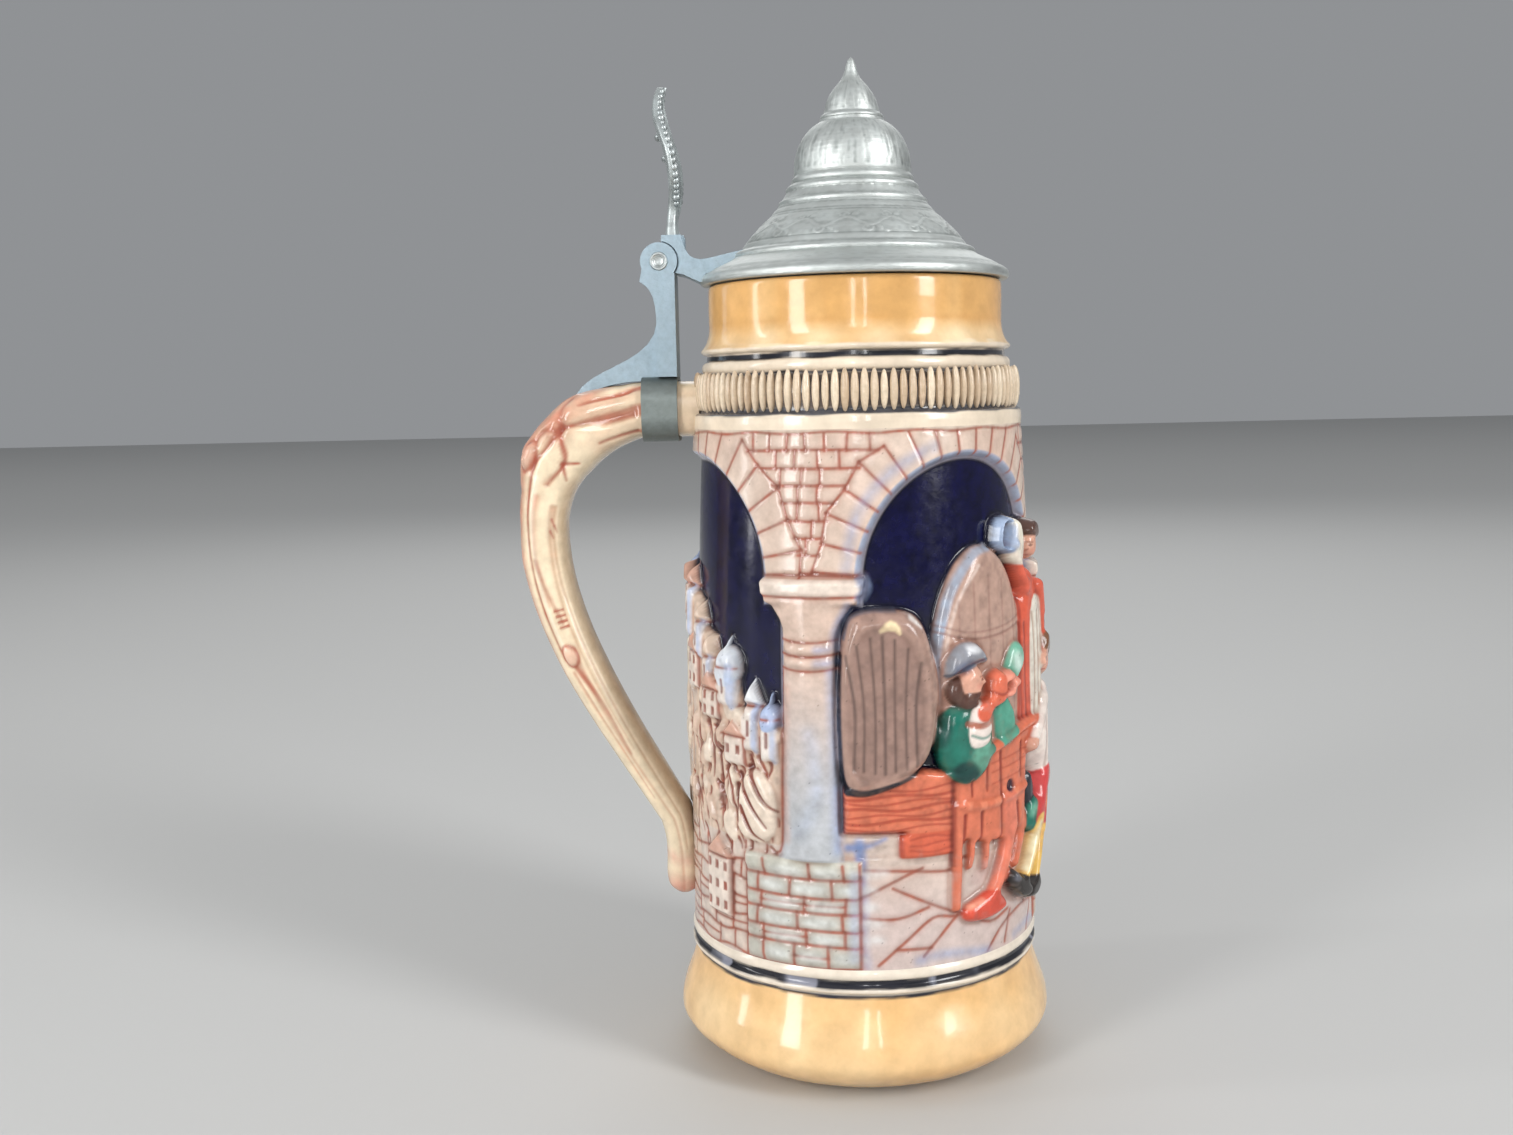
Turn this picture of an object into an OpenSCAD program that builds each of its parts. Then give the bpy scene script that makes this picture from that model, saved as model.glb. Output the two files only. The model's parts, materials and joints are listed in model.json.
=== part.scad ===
// Half-litre relief stein: a ceramic mug with an arcade moulded round its wall, a luted branch
// handle, and a pewter lid hinged to a strap that grips the handle.
// Millimetres, +Z up. The origin is the centre of the foot, on the surface it stands on.
// The handle and the hinge lie towards -X.

/* [Mug] */
// Height of the mug to its rim
mug_h = 195.2; // [150:0.1:240]
// Radius of the foot at its widest
foot_r = 48; // [46:0.5:60]
// Height of the rounded foot
foot_h = 27; // [20:0.5:34]
// Radius of the wall above the foot
wall_low_r = 44.3; // [42:0.1:46]
// Radius of the wall below the neck
wall_top_r = 41.4; // [38:0.1:44]
// Radius of the neck
neck_r = 36.7; // [32:0.1:38]
// Height of the straight neck
neck_h = 10.8; // [8:0.1:20]
// Thickness of the wall
wall_t = 6; // [4.5:0.1:8]
// Thickness of the neck
neck_t = 4.3; // [3:0.1:5]
// Thickness of the bottom
bottom_t = 9; // [6:0.5:14]
// Depth of the hollow under the foot
foot_hollow = 2.5; // [1:0.1:4]
// Width of the ring that the mug stands on
foot_ring_w = 4; // [3:0.5:7]

/* [Arcade] */
// Height of the bands between the foot and the arcade
plinth_h = 6; // [4:0.5:10]
// Height of the paved ground at the bottom of the arcade
ground_h = 27; // [18:0.5:32]
// Radius of the arches, measured flat
arch_r = 26; // [20:0.5:27]
// Depth of the bays behind the masonry
bay_depth = 2.2; // [1:0.1:3]
// Angle between the front column and each of the others
column_angle = 109; // [105:1:112]
// Radius of a column's shaft
shaft_r = 6.6; // [4:0.1:8]
// How far the columns stand out from the masonry
column_proud = 2.2; // [1:0.1:3]
// Half the angle that a column's foot block covers
block_angle = 19.5; // [14:0.5:22]

/* [Bead ring] */
// Height of the ribbed ring below the neck
bead_h = 7.5; // [5:0.5:10]
// Height of the plain band between the arcade and the ribbed ring
band_h = 4; // [3:0.5:8]
// Height of the two ridges between the ribbed ring and the neck
ridges_h = 6.5; // [5:0.5:9]

/* [Handle] */
// How far the handle stands out from the wall
handle_reach = 45.8; // [38:0.1:56]
// Half the handle's height where it leaves the wall
handle_top_t = 7; // [5:0.1:8]
// Half the handle's width
handle_w = 9; // [7:0.1:11]
// Height of the handle's lower end above the foot
handle_low = 11; // [6:0.5:20]

/* [Strap and shank] */
// Width of the strap round the handle
strap_w = 9; // [7:0.1:12]
// Thickness of the strap
strap_t = 1; // [0.8:0.1:1.6]
// Distance from the wall to the strap
strap_gap = 3.4; // [2:0.1:6]
// Thickness of the shank
shank_t = 4.8; // [3.5:0.1:6]
// Width of the tang that lies along the handle
tang_w = 8; // [5:0.5:10]

/* [Hinge] */
// Height of the hinge above the rim
hinge_rise = 6.3; // [5.5:0.1:9]
// Distance from the neck to the hinge
hinge_out = 11.9; // [10:0.1:15]
// Radius of the hinge's leaves
knuckle_r = 4.6; // [4:0.1:5]
// Thickness of each of the five leaves
leaf_t = 2.6; // [2:0.1:3.5]
// Radius of the hinge pin
pin_r = 1.5; // [1.2:0.1:2]
// Thickness of the plugs that hide the pin's ends
plug_t = 1; // [0.6:0.1:1.2]

/* [Lid] */
// Radius of the lid's flange
lid_r = 38.6; // [37:0.1:42]
// Height of the flared lid
lid_h = 24.3; // [20:0.1:32]
// Thickness of the lid's wall
lid_t = 1.9; // [1.2:0.1:2.5]
// Radius of the bulb on the lid
bulb_r = 14.9; // [12:0.1:17]
// Height of the bulb
bulb_h = 15.7; // [12:0.1:22]
// Height of the finial
finial_h = 15.1; // [10:0.1:22]
// Depth of the ring that centres the lid in the neck
centring_h = 4; // [2:0.1:6]
// Thickness of the centring ring
centring_t = 1.5; // [1:0.1:2]

/* [Thumblift] */
// Height of the thumblift
lift_h = 36.5; // [26:0.5:46]
// Width of the thumblift at its widest
lift_w = 22; // [14:0.5:28]
// Thickness of the thumblift
lift_t = 3.4; // [2.4:0.1:5]

/* [Fits] */
// Gap between the lid and the rim
lid_gap = 0.3; // [0.2:0.05:0.6]
// Radial gap between the centring ring and the neck
centring_gap = 1; // [0.8:0.1:2]
// Gap between the strap and the handle
strap_fit = 0.1; // [0.05:0.05:0.3]
// Gap between the tang and the handle
tang_fit = 0.15; // [0.05:0.05:0.3]
// Gap between neighbouring leaves of the hinge
leaf_gap = 0.2; // [0.15:0.05:0.4]
// Radial gap between the turning leaves and what they turn in
knuckle_gap = 0.35; // [0.3:0.05:0.6]
// Radial running gap of the pin in the lid's leaves
pin_fit = 0.05; // [0.02:0.01:0.1]

/* [Hidden] */
$fn = 96;

pewter = "#9fa9ad";
stone = "#e2cdb9";
far = 200;

// Levels of the mug, counted from the foot and from the rim
arcade_z = foot_h + plinth_h;
paving_z = arcade_z + ground_h;
neck_z = mug_h - neck_h;
cove_h = 5;
ridges_z = neck_z - cove_h - ridges_h;
bead_z = ridges_z - bead_h;
arcade_top_z = bead_z - band_h - 2;
column_top_z = arcade_top_z - arch_r - 7.5;
root_z = bead_z - 0.4;
strap_x = -(wall_top_r + strap_gap);
hinge_x = -(neck_r + hinge_out);
hinge_z = mug_h + hinge_rise;
lid_z = mug_h + lid_gap;
bulb_z = lid_z + lid_h;
finial_z = bulb_z + bulb_h;
neck_inner_r = neck_r - neck_t;
centring_r = neck_inner_r - centring_gap;

// Points of a cubic curve from a to d with handles b and c, without its first point
function curve(a, b, c, d, n = 8) =
    [for (i = [1:n]) let (t = i / n) on_curve(a, b, c, d, t)];
function on_curve(a, b, c, d, t) =
    pow(1 - t, 3) * a + 3 * t * pow(1 - t, 2) * b + 3 * t * t * (1 - t) * c + pow(t, 3) * d;
function along_curve(a, b, c, d, t) =
    pow(1 - t, 2) * (b - a) + 2 * t * (1 - t) * (c - b) + t * t * (d - c);
function reversed(list) = [for (i = [len(list) - 1:-1:0]) list[i]];

// ---------------------------------------------------------------- mug

wall_belly_r = wall_low_r - 0.3;
foot_bulge_z = foot_h * 0.38;
foot_stand_r = foot_r - 12.5;
foot_neck_r = wall_low_r - 0.6;

// Outline of the mug's outside from the foot to the rim
function mug_outside() = concat(
    [[foot_stand_r, 0]],
    curve([foot_stand_r, 0], [foot_stand_r + 4.5, 1.6], [foot_r, foot_bulge_z * 0.6],
          [foot_r, foot_bulge_z], 8),
    curve([foot_r, foot_bulge_z], [foot_r, foot_h * 0.55], [foot_neck_r + 1, foot_h * 0.72],
          [foot_neck_r, foot_h - 1.5], 8),
    [[foot_neck_r, foot_h]],
    [[wall_low_r + 0.5, foot_h + 0.3], [wall_low_r + 0.5, foot_h + 1.5]],
    [[foot_neck_r, foot_h + 1.7], [foot_neck_r, foot_h + 3.6]],
    [[wall_low_r + 0.4, foot_h + 4], [wall_low_r + 0.4, arcade_z - 0.3], [wall_low_r, arcade_z]],
    curve([wall_low_r, arcade_z], [wall_belly_r, arcade_z + 60], [wall_belly_r, bead_z - 50],
          [wall_top_r, arcade_top_z + 1], 10),
    [[wall_top_r, bead_z - 1.4], [wall_top_r - 1.4, bead_z - 1.2], [wall_top_r - 1.4, bead_z - 0.2]],
    curve([wall_top_r - 0.9, bead_z], [wall_top_r, bead_z + 1.2], [wall_top_r, ridges_z - 1.2],
          [wall_top_r - 0.9, ridges_z], 6),
    [[neck_r + 1.2, ridges_z + 0.1], [neck_r + 1.2, ridges_z + 0.6]],
    [[neck_r + 2.1, ridges_z + 1], [neck_r + 2.1, ridges_z + 3.2]],
    [[neck_r + 0.9, ridges_z + 3.5], [neck_r + 0.9, ridges_z + 5.1]],
    [[neck_r + 2, ridges_z + 5.4], [neck_r + 2, ridges_z + ridges_h]],
    curve([neck_r + 2, ridges_z + ridges_h], [neck_r + 0.8, ridges_z + ridges_h + 1.6],
          [neck_r, neck_z - 2], [neck_r, neck_z], 6),
    [[neck_r, mug_h - 0.8], [neck_r - 0.8, mug_h]]);

// Outline of the inside from the rim down to the middle of the bottom
function mug_inside() = concat(
    [[neck_inner_r + 0.8, mug_h], [neck_inner_r, mug_h - 0.8], [neck_inner_r, neck_z]],
    curve([neck_inner_r, neck_z], [neck_inner_r, ridges_z + 4], [wall_top_r - wall_t, ridges_z + 2],
          [wall_top_r - wall_t, bead_z], 5),
    curve([wall_top_r - wall_t, bead_z], [wall_belly_r - wall_t, bead_z - 50],
          [wall_belly_r - wall_t, arcade_z + 50], [wall_low_r - wall_t - 1.5, arcade_z], 6),
    curve([wall_low_r - wall_t - 1.5, arcade_z], [wall_low_r - wall_t - 2, foot_hollow + bottom_t],
          [wall_low_r - wall_t - 4, foot_hollow + bottom_t], [wall_low_r / 2, foot_hollow + bottom_t], 8),
    [[0, foot_hollow + bottom_t]]);

// Outline of the hollow under the foot
function mug_underside() =
    let (ring_r = foot_stand_r - foot_ring_w)
    [[0, foot_hollow], [ring_r - 2.4, foot_hollow], [ring_r - 0.7, foot_hollow * 0.7], [ring_r, 0]];

// The arched openings of the bays, as prisms that point outwards
module arch_prism(angle, spring_z) {
    rotate([0, 0, angle])
        translate([far / 8, 0, 0])
            rotate([90, 0, 90])
                linear_extrude(far / 4) {
                    translate([-arch_r, paving_z])
                        square([2 * arch_r, spring_z - paving_z]);
                    translate([0, spring_z])
                        circle(r = arch_r);
                }
}

// What is cut out of the masonry: two front bays and the wide bay behind the handle
module bays() {
    difference() {
        union() {
            for (side = [-1, 1]) {
                arch_prism(side * column_angle / 2, column_top_z);
                arch_prism(side * (column_angle + 54), column_top_z);
            }
            rotate([0, 0, 180])
                translate([far / 8, -arch_r / 2 + 2, column_top_z - 5])
                    cube([far / 4, arch_r - 4, arch_r + 3]);
        }
        cylinder(h = mug_h, r1 = wall_low_r - bay_depth + 0.6, r2 = wall_top_r - bay_depth + 0.2);
    }
}

// The mug's outer skin filled to its axis, which the handle is trimmed to
module mug_skin() {
    difference() {
        rotate_extrude()
            polygon(concat([[0, 0]], mug_outside(), [[0, mug_h]]));
        bays();
    }
}

// One column: a foot block of bricks, a shaft with its rings, and a flared capital
module column() {
    proud_r = wall_belly_r + column_proud;
    shaft_x = proud_r - shaft_r;
    cap_h = 15;
    rotate([0, 0, -block_angle])
        rotate_extrude(angle = 2 * block_angle)
            translate([wall_low_r - wall_t / 2, arcade_z + 0.5])
                square([wall_t / 2 + column_proud / 2, ground_h - 1.5]);
    intersection() {
        translate([shaft_x, 0, 0]) {
            translate([0, 0, paving_z - 2])
                cylinder(h = 3.5, r = shaft_r + 1);
            translate([0, 0, paving_z])
                cylinder(h = column_top_z - cap_h - paving_z + 1, r1 = shaft_r + 0.4, r2 = shaft_r - 0.5);
            for (z = [column_top_z - cap_h - 4, column_top_z - cap_h])
                translate([0, 0, z])
                    cylinder(h = 1.8, r = shaft_r + 0.6);
            translate([0, 0, column_top_z - cap_h + 1])
                cylinder(h = cap_h - 5, r1 = shaft_r - 0.4, r2 = shaft_r + 4);
            translate([-2, -shaft_r - 5, column_top_z - 5.2])
                cube([shaft_r + 4, 2 * shaft_r + 10, 4.6]);
        }
        difference() {
            cylinder(h = mug_h, r = proud_r);
            cylinder(h = mug_h, r = wall_top_r - wall_t / 2);
        }
    }
}

module mug_body() {
    color(stone) {
        difference() {
            rotate_extrude()
                polygon(concat(mug_underside(), mug_outside(), mug_inside()));
            bays();
        }
        for (turn = [-1:1])
            rotate([0, 0, turn * column_angle])
                column();
    }
}

// ---------------------------------------------------------------- handle

// The handle's middle line: a stub along -X, a high bend, a long sweep in, and a drooping end
belly_t = 6.4;
belly_x = -(wall_top_r + handle_reach - belly_t);
belly_z = root_z - 28.5;
low_x = -(wall_low_r + 4.3);
low_z = foot_h + handle_low + 22;
stub_x = strap_x - strap_w;
HANDLE = [
    [[-wall_top_r + 4, root_z], [-wall_top_r - 2, root_z], [strap_x, root_z], [stub_x, root_z]],
    [[stub_x, root_z], [stub_x - 12, root_z - 0.7], [belly_x - 0.4, root_z - 8.5], [belly_x, belly_z]],
    [[belly_x, belly_z], [belly_x - 0.4, belly_z - 26], [low_x - 15.4, low_z + 26], [low_x, low_z]],
    [[low_x, low_z], [low_x + 1.6, low_z - 5], [low_x + 2.2, low_z - 12], [low_x + 1.6, low_z - 22]]];

function handle_mid(s) = let (k = min(3, floor(s)), p = HANDLE[k]) on_curve(p[0], p[1], p[2], p[3], s - k);
function handle_way(s) =
    let (k = min(3, floor(s)), p = HANDLE[k], d = along_curve(p[0], p[1], p[2], p[3], s - k))
    d / norm(d);
// Half the thickness in the plane of the bend, and half the width across it
function handle_t(s) = lookup(s, [[0, handle_top_t], [1, handle_top_t], [1.55, 8], [2, belly_t],
                                  [2.5, 5.6], [2.75, 4.9], [3, 4.4], [3.4, 4.2], [3.8, 4.7],
                                  [3.93, 4.1], [4, 2.8]]);
function handle_half_w(s) = handle_w - lookup(s, [[0, 0], [1, 0], [1.5, -0.3], [2, 0.8], [3, 1.8],
                                                  [3.8, 3], [4, 5]]);
// A point of the handle's outline in its plane, on its outer or inner edge
function handle_edge(s, side, gap = 0) =
    let (m = handle_mid(s), d = handle_way(s))
    m + side * (handle_t(s) + gap) * [d[1], -d[0]];

corner_r = 5;
corner_steps = 5;
// A rounded rectangle, half_w by half_t, as points
function rounded_points(half_w, half_t, r) =
    [for (q = [0:3]) for (i = [0:corner_steps])
        let (a = 90 * (q + i / corner_steps), sx = (q == 0 || q == 3) ? 1 : -1, sy = q < 2 ? 1 : -1)
        [sx * (half_w - r) + r * cos(a), sy * (half_t - r) + r * sin(a)]];

handle_steps = 44;
ring_n = 4 * (corner_steps + 1);
function handle_ring(s) =
    let (m = handle_mid(s), d = handle_way(s), w = handle_half_w(s), t = handle_t(s),
         r = min(corner_r + 2 * max(0, s - 1), 0.94 * min(w, t)))
    [for (p = rounded_points(w, t, r)) [m[0] + p[1] * d[1], p[0], m[1] - p[1] * d[0]]];

// The handle before it is trimmed to the mug's wall
module handle_sweep() {
    points = [for (i = [0:handle_steps]) each handle_ring(4 * i / handle_steps)];
    sides = [for (i = [0:handle_steps - 1]) for (j = [0:ring_n - 1])
        let (a = i * ring_n + j, b = i * ring_n + (j + 1) % ring_n)
        each [[a, b, a + ring_n], [b, b + ring_n, a + ring_n]]];
    first = [for (j = [ring_n - 1:-1:0]) j];
    last = [for (j = [0:ring_n - 1]) handle_steps * ring_n + j];
    polyhedron(points = points, faces = concat(sides, [first], [last]));
}

module handle() {
    color("#e8cfb8")
        difference() {
            handle_sweep();
            mug_skin();
        }
}

// ---------------------------------------------------------------- strap, shank and hinge

module rounded_rect(half_w, half_t, r) {
    square([2 * half_w, 2 * (half_t - r)], center = true);
    square([2 * (half_w - r), 2 * half_t], center = true);
    for (x = [-1, 1])
        for (y = [-1, 1])
            translate([x * (half_w - r), y * (half_t - r)])
                circle(r = r);
}

module handle_strap() {
    color("#6f7674")
        translate([stub_x, 0, root_z])
            rotate([90, 0, 90])
                linear_extrude(strap_w)
                    difference() {
                        rounded_rect(handle_w + strap_fit + strap_t, handle_top_t + strap_fit + strap_t,
                                     corner_r + strap_fit + strap_t);
                        rounded_rect(handle_w + strap_fit, handle_top_t + strap_fit, corner_r + strap_fit);
                    }
}

strap_top_z = root_z + handle_top_t + strap_fit + strap_t;
pitch = leaf_t + leaf_gap;
hinge_w = 5 * leaf_t + 4 * leaf_gap;
shank_x = strap_x - shank_t;
spur_z = hinge_z - knuckle_r - 0.3;

// A disc or bar across the hinge, along Y
module across(y, w, r) {
    translate([hinge_x, y - w / 2, hinge_z])
        rotate([-90, 0, 0])
            cylinder(h = w, r = r);
}

// A side outline (x, z) made solid across the given width about the middle
module slab(points, w, y = 0) {
    translate([0, y + w / 2, 0])
        rotate([90, 0, 0])
            linear_extrude(w)
                polygon(points);
}

// The riser: straight inside, with a spur at the back below the leaves
function riser_points() = concat(
    [[strap_x, strap_top_z], [strap_x, hinge_z - 3], [hinge_x, hinge_z - 1.5]],
    [[hinge_x - knuckle_r + 0.4, hinge_z - 1.5], [hinge_x - knuckle_r - 0.3, spur_z]],
    curve([hinge_x - knuckle_r - 0.3, spur_z], [hinge_x - 2.5, spur_z - 1], [shank_x, spur_z - 4],
          [shank_x, spur_z - 9], 5),
    [[shank_x, strap_top_z]]);

tang_end = 1.36;
// The tang: its top sweeps down from the riser, its underside follows the handle's back
function tang_points() =
    let (tip = handle_edge(tang_end, 1, tang_fit))
    concat(
        [[strap_x, strap_top_z], [strap_x, strap_top_z + 6], [shank_x, strap_top_z + 14]],
        curve([shank_x, strap_top_z + 14], [shank_x - 0.9, strap_top_z + 3],
              [tip[0] + 4, strap_top_z + 3.4], tip + [0, 0.5], 9),
        reversed([for (i = [0:7]) handle_edge(1 + (tang_end - 1) * i / 7, 1, tang_fit)]),
        [[stub_x, strap_top_z]]);

module hinge_shank() {
    color(pewter)
        difference() {
            union() {
                slab(riser_points(), hinge_w);
                slab(tang_points(), tang_w);
                across(0, hinge_w, knuckle_r);
            }
            for (side = [-1, 1])
                across(side * pitch, leaf_t + 2 * leaf_gap, knuckle_r + knuckle_gap);
            across(0, hinge_w + 1, pin_r);
        }
}

module hinge_pin() {
    color("#8a9093")
        across(0, hinge_w - 2 * plug_t, pin_r);
}

module pin_plugs() {
    color("#aab3b7")
        for (side = [-1, 1])
            across(side * (hinge_w - plug_t) / 2, plug_t, pin_r);
}

// ---------------------------------------------------------------- lid

dome_r = lid_r * 0.66;
seat_r = centring_r - centring_t - 0.4;
ring_r = bulb_r + 1;

// Outside of the flared lid, from the flange's edge up to its flat top
function lid_outside() = concat(
    [[lid_r - 0.4, lid_z], [lid_r, lid_z + 0.3], [lid_r, lid_z + 1.5], [lid_r - 1.1, lid_z + 2.8]],
    curve([lid_r - 1.1, lid_z + 2.8], [lid_r - 5, lid_z + 3.6], [dome_r + 5, lid_z + 4.8],
          [dome_r + 1.8, lid_z + 7], 5),
    curve([dome_r + 1.8, lid_z + 7], [dome_r + 2.4, lid_z + 8.2], [dome_r + 1.4, lid_z + 9],
          [dome_r + 0.4, lid_z + 9.2], 4),
    curve([dome_r + 0.4, lid_z + 9.2], [dome_r - 1, lid_z + 13.6], [ring_r + 0.4, lid_z + lid_h - 9],
          [ring_r - 0.5, lid_z + lid_h - 2.2], 8),
    [[ring_r + 0.1, lid_z + lid_h - 1.8], [ring_r + 0.1, lid_z + lid_h - 0.7], [ring_r - 0.9, lid_z + lid_h]]);

function lid_inside() = concat(
    [[bulb_r - 3.2, lid_z + lid_h]],
    curve([bulb_r - 3.2, lid_z + lid_h], [ring_r - lid_t - 1, lid_z + lid_h - 9], [dome_r - lid_t - 3, lid_z + 12],
          [dome_r - lid_t - 0.6, lid_z + 7.4], 6),
    [[seat_r - 0.6, lid_z + 3], [seat_r, lid_z]]);

module lid() {
    color(pewter)
        rotate_extrude()
            polygon(concat(lid_outside(), lid_inside()));
}

module lid_bulb() {
    color(pewter)
        rotate_extrude()
            polygon(concat(
                [[bulb_r - 1.2, bulb_z], [bulb_r + 0.4, bulb_z + 0.4], [bulb_r + 0.4, bulb_z + 1.7]],
                [[bulb_r - 0.4, bulb_z + 2.2]],
                curve([bulb_r - 0.4, bulb_z + 2.2], [bulb_r - 0.2, bulb_z + bulb_h * 0.55],
                      [bulb_r - 4, bulb_z + bulb_h - 2.4], [bulb_r * 0.52, bulb_z + bulb_h - 0.6], 8),
                [[bulb_r * 0.48, bulb_z + bulb_h], [0, bulb_z + bulb_h], [0, bulb_z + bulb_h - lid_t - 1]],
                curve([0, bulb_z + bulb_h - lid_t - 1], [bulb_r * 0.6, bulb_z + bulb_h - lid_t - 1.4],
                      [bulb_r - lid_t, bulb_z + bulb_h * 0.6], [bulb_r - lid_t - 0.6, bulb_z + 1.5], 6),
                [[bulb_r - lid_t - 0.6, bulb_z]]));
}

module lid_finial() {
    color(pewter)
        rotate_extrude()
            polygon(concat(
                [[0, finial_z], [bulb_r * 0.48, finial_z], [bulb_r * 0.53, finial_z + 0.5]],
                [[bulb_r * 0.53, finial_z + 1.1], [bulb_r * 0.47, finial_z + 1.6]],
                curve([bulb_r * 0.47, finial_z + 1.6], [bulb_r * 0.43, finial_z + finial_h * 0.5],
                      [4.2, finial_z + finial_h * 0.52], [2.4, finial_z + finial_h - 5.4], 7),
                curve([2.4, finial_z + finial_h - 5.4], [1.5, finial_z + finial_h - 4],
                      [1.5, finial_z + finial_h - 1], [0, finial_z + finial_h], 5)));
}

module centring_ring() {
    color("#8f989b")
        translate([0, 0, lid_z - centring_h])
            difference() {
                cylinder(h = centring_h, r = centring_r);
                translate([0, 0, -1])
                    cylinder(h = centring_h + 2, r = centring_r - centring_t);
            }
}

// ---------------------------------------------------------------- lid arm and thumblift

saddle_z = hinge_z + knuckle_r + 1.8;
saddle_w = 8;
// The arm: a saddle over the knuckle, a dip, and a tongue that climbs onto the lid
function arm_points() = concat(
    [[hinge_x + 0.8, saddle_z], [hinge_x + 5.6, saddle_z]],
    curve([hinge_x + 5.6, saddle_z], [hinge_x + 6.4, hinge_z + 1.6], [-lid_r - 2, hinge_z - 0.3],
          [-lid_r + 2, hinge_z + 0.5], 6),
    curve([-lid_r + 2, hinge_z + 0.5], [-lid_r + 5, hinge_z + 1], [-dome_r - 5, hinge_z + 1.9],
          [-dome_r - 2, hinge_z + 2.4], 4),
    [[-dome_r, hinge_z - 3], [-lid_r + 4, lid_z + 0.8], [-lid_r, lid_z + 0.8]],
    [[hinge_x + 6, hinge_z - 3.3], [hinge_x, hinge_z - 2]]);

module arm_leaf(y) {
    across(y, leaf_t, knuckle_r);
    slab([[hinge_x, hinge_z - 3], [hinge_x + 6.2, hinge_z - 2.6], [hinge_x + 6.2, saddle_z],
          [hinge_x + 0.8, saddle_z]], leaf_t, y);
}

module lid_arm() {
    color(pewter)
        difference() {
            union() {
                difference() {
                    slab(arm_points(), hinge_w - 1.2);
                    across(0, hinge_w + 1, knuckle_r + knuckle_gap);
                }
                for (side = [-1, 1])
                    arm_leaf(side * pitch);
            }
            across(0, hinge_w + 1, pin_r + pin_fit);
            rotate_extrude()
                polygon(concat([[0, lid_z - 1], [lid_r - 0.4, lid_z - 1]], lid_outside(), [[0, lid_z + lid_h]]));
        }
}

// Side view of the thumblift: it leans out, then curls back at its tip
function lift_mid() = concat(
    [[hinge_x + 3.2, saddle_z]],
    curve([hinge_x + 3.2, saddle_z], [hinge_x + 3, saddle_z + lift_h * 0.22],
          [hinge_x + 5.4, saddle_z + lift_h * 0.3], [hinge_x + 3.2, saddle_z + lift_h * 0.55], 6),
    curve([hinge_x + 3.2, saddle_z + lift_h * 0.55], [hinge_x + 1, saddle_z + lift_h * 0.75],
          [hinge_x - 1, saddle_z + lift_h * 0.85], [hinge_x + 1.3, saddle_z + lift_h], 6));
// Front view of half the thumblift: a narrow foot, a waist and a broad leaf
function lift_half() = concat(
    [[saddle_w / 2, saddle_z], [saddle_w / 2, saddle_z + 2]],
    curve([saddle_w / 2, saddle_z + 2], [saddle_w / 2 - 2.6, saddle_z + lift_h * 0.2],
          [lift_w * 0.2, saddle_z + lift_h * 0.24], [lift_w * 0.42, saddle_z + lift_h * 0.36], 6),
    curve([lift_w * 0.42, saddle_z + lift_h * 0.36], [lift_w * 0.58, saddle_z + lift_h * 0.5],
          [lift_w * 0.5, saddle_z + lift_h * 0.66], [lift_w * 0.3, saddle_z + lift_h * 0.78], 6),
    curve([lift_w * 0.3, saddle_z + lift_h * 0.78], [lift_w * 0.2, saddle_z + lift_h * 0.86],
          [lift_w * 0.14, saddle_z + lift_h * 0.98], [0, saddle_z + lift_h], 5));

module thumblift() {
    mid = lift_mid();
    half = lift_half();
    color(pewter)
        intersection() {
            slab(concat([for (p = mid) p + [lift_t / 2, 0]], reversed([for (p = mid) p - [lift_t / 2, 0]])),
                 lift_w + 2);
            translate([hinge_x - far / 8, 0, 0])
                rotate([90, 0, 90])
                    linear_extrude(far / 4)
                        polygon(concat(half, reversed([for (p = half) [-p[0], p[1]]])));
        }
}

mug_body();
handle();
handle_strap();
hinge_shank();
hinge_pin();
pin_plugs();
lid_arm();
thumblift();
lid();
lid_bulb();
lid_finial();
centring_ring();
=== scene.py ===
"""Half-litre relief stein: a painted ceramic mug with an arcade round its wall, a branch handle
and a hinged pewter lid, with the studio that it is shown in."""

import json
import logging
import math
from dataclasses import dataclass, field
from enum import Enum
from typing import Callable, Optional, Sequence

import bpy
import numpy as np
from mathutils import Matrix, Vector

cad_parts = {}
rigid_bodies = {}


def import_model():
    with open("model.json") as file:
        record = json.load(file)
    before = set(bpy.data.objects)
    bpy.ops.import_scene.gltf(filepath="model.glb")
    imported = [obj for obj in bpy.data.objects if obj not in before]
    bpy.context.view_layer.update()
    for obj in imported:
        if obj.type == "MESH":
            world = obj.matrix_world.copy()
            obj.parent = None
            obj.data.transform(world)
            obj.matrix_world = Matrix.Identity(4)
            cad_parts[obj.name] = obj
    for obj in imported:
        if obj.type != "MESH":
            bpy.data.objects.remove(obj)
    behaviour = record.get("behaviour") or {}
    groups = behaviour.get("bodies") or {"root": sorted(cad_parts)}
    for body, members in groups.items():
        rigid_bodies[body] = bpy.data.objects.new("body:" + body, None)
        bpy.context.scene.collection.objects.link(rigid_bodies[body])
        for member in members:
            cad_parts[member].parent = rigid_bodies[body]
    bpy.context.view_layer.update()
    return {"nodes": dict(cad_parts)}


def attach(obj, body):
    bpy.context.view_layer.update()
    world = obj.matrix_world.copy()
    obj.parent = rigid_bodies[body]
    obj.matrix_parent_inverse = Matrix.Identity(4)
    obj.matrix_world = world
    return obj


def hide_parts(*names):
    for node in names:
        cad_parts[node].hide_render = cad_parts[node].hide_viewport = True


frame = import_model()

log = logging.getLogger("stein")

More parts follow.
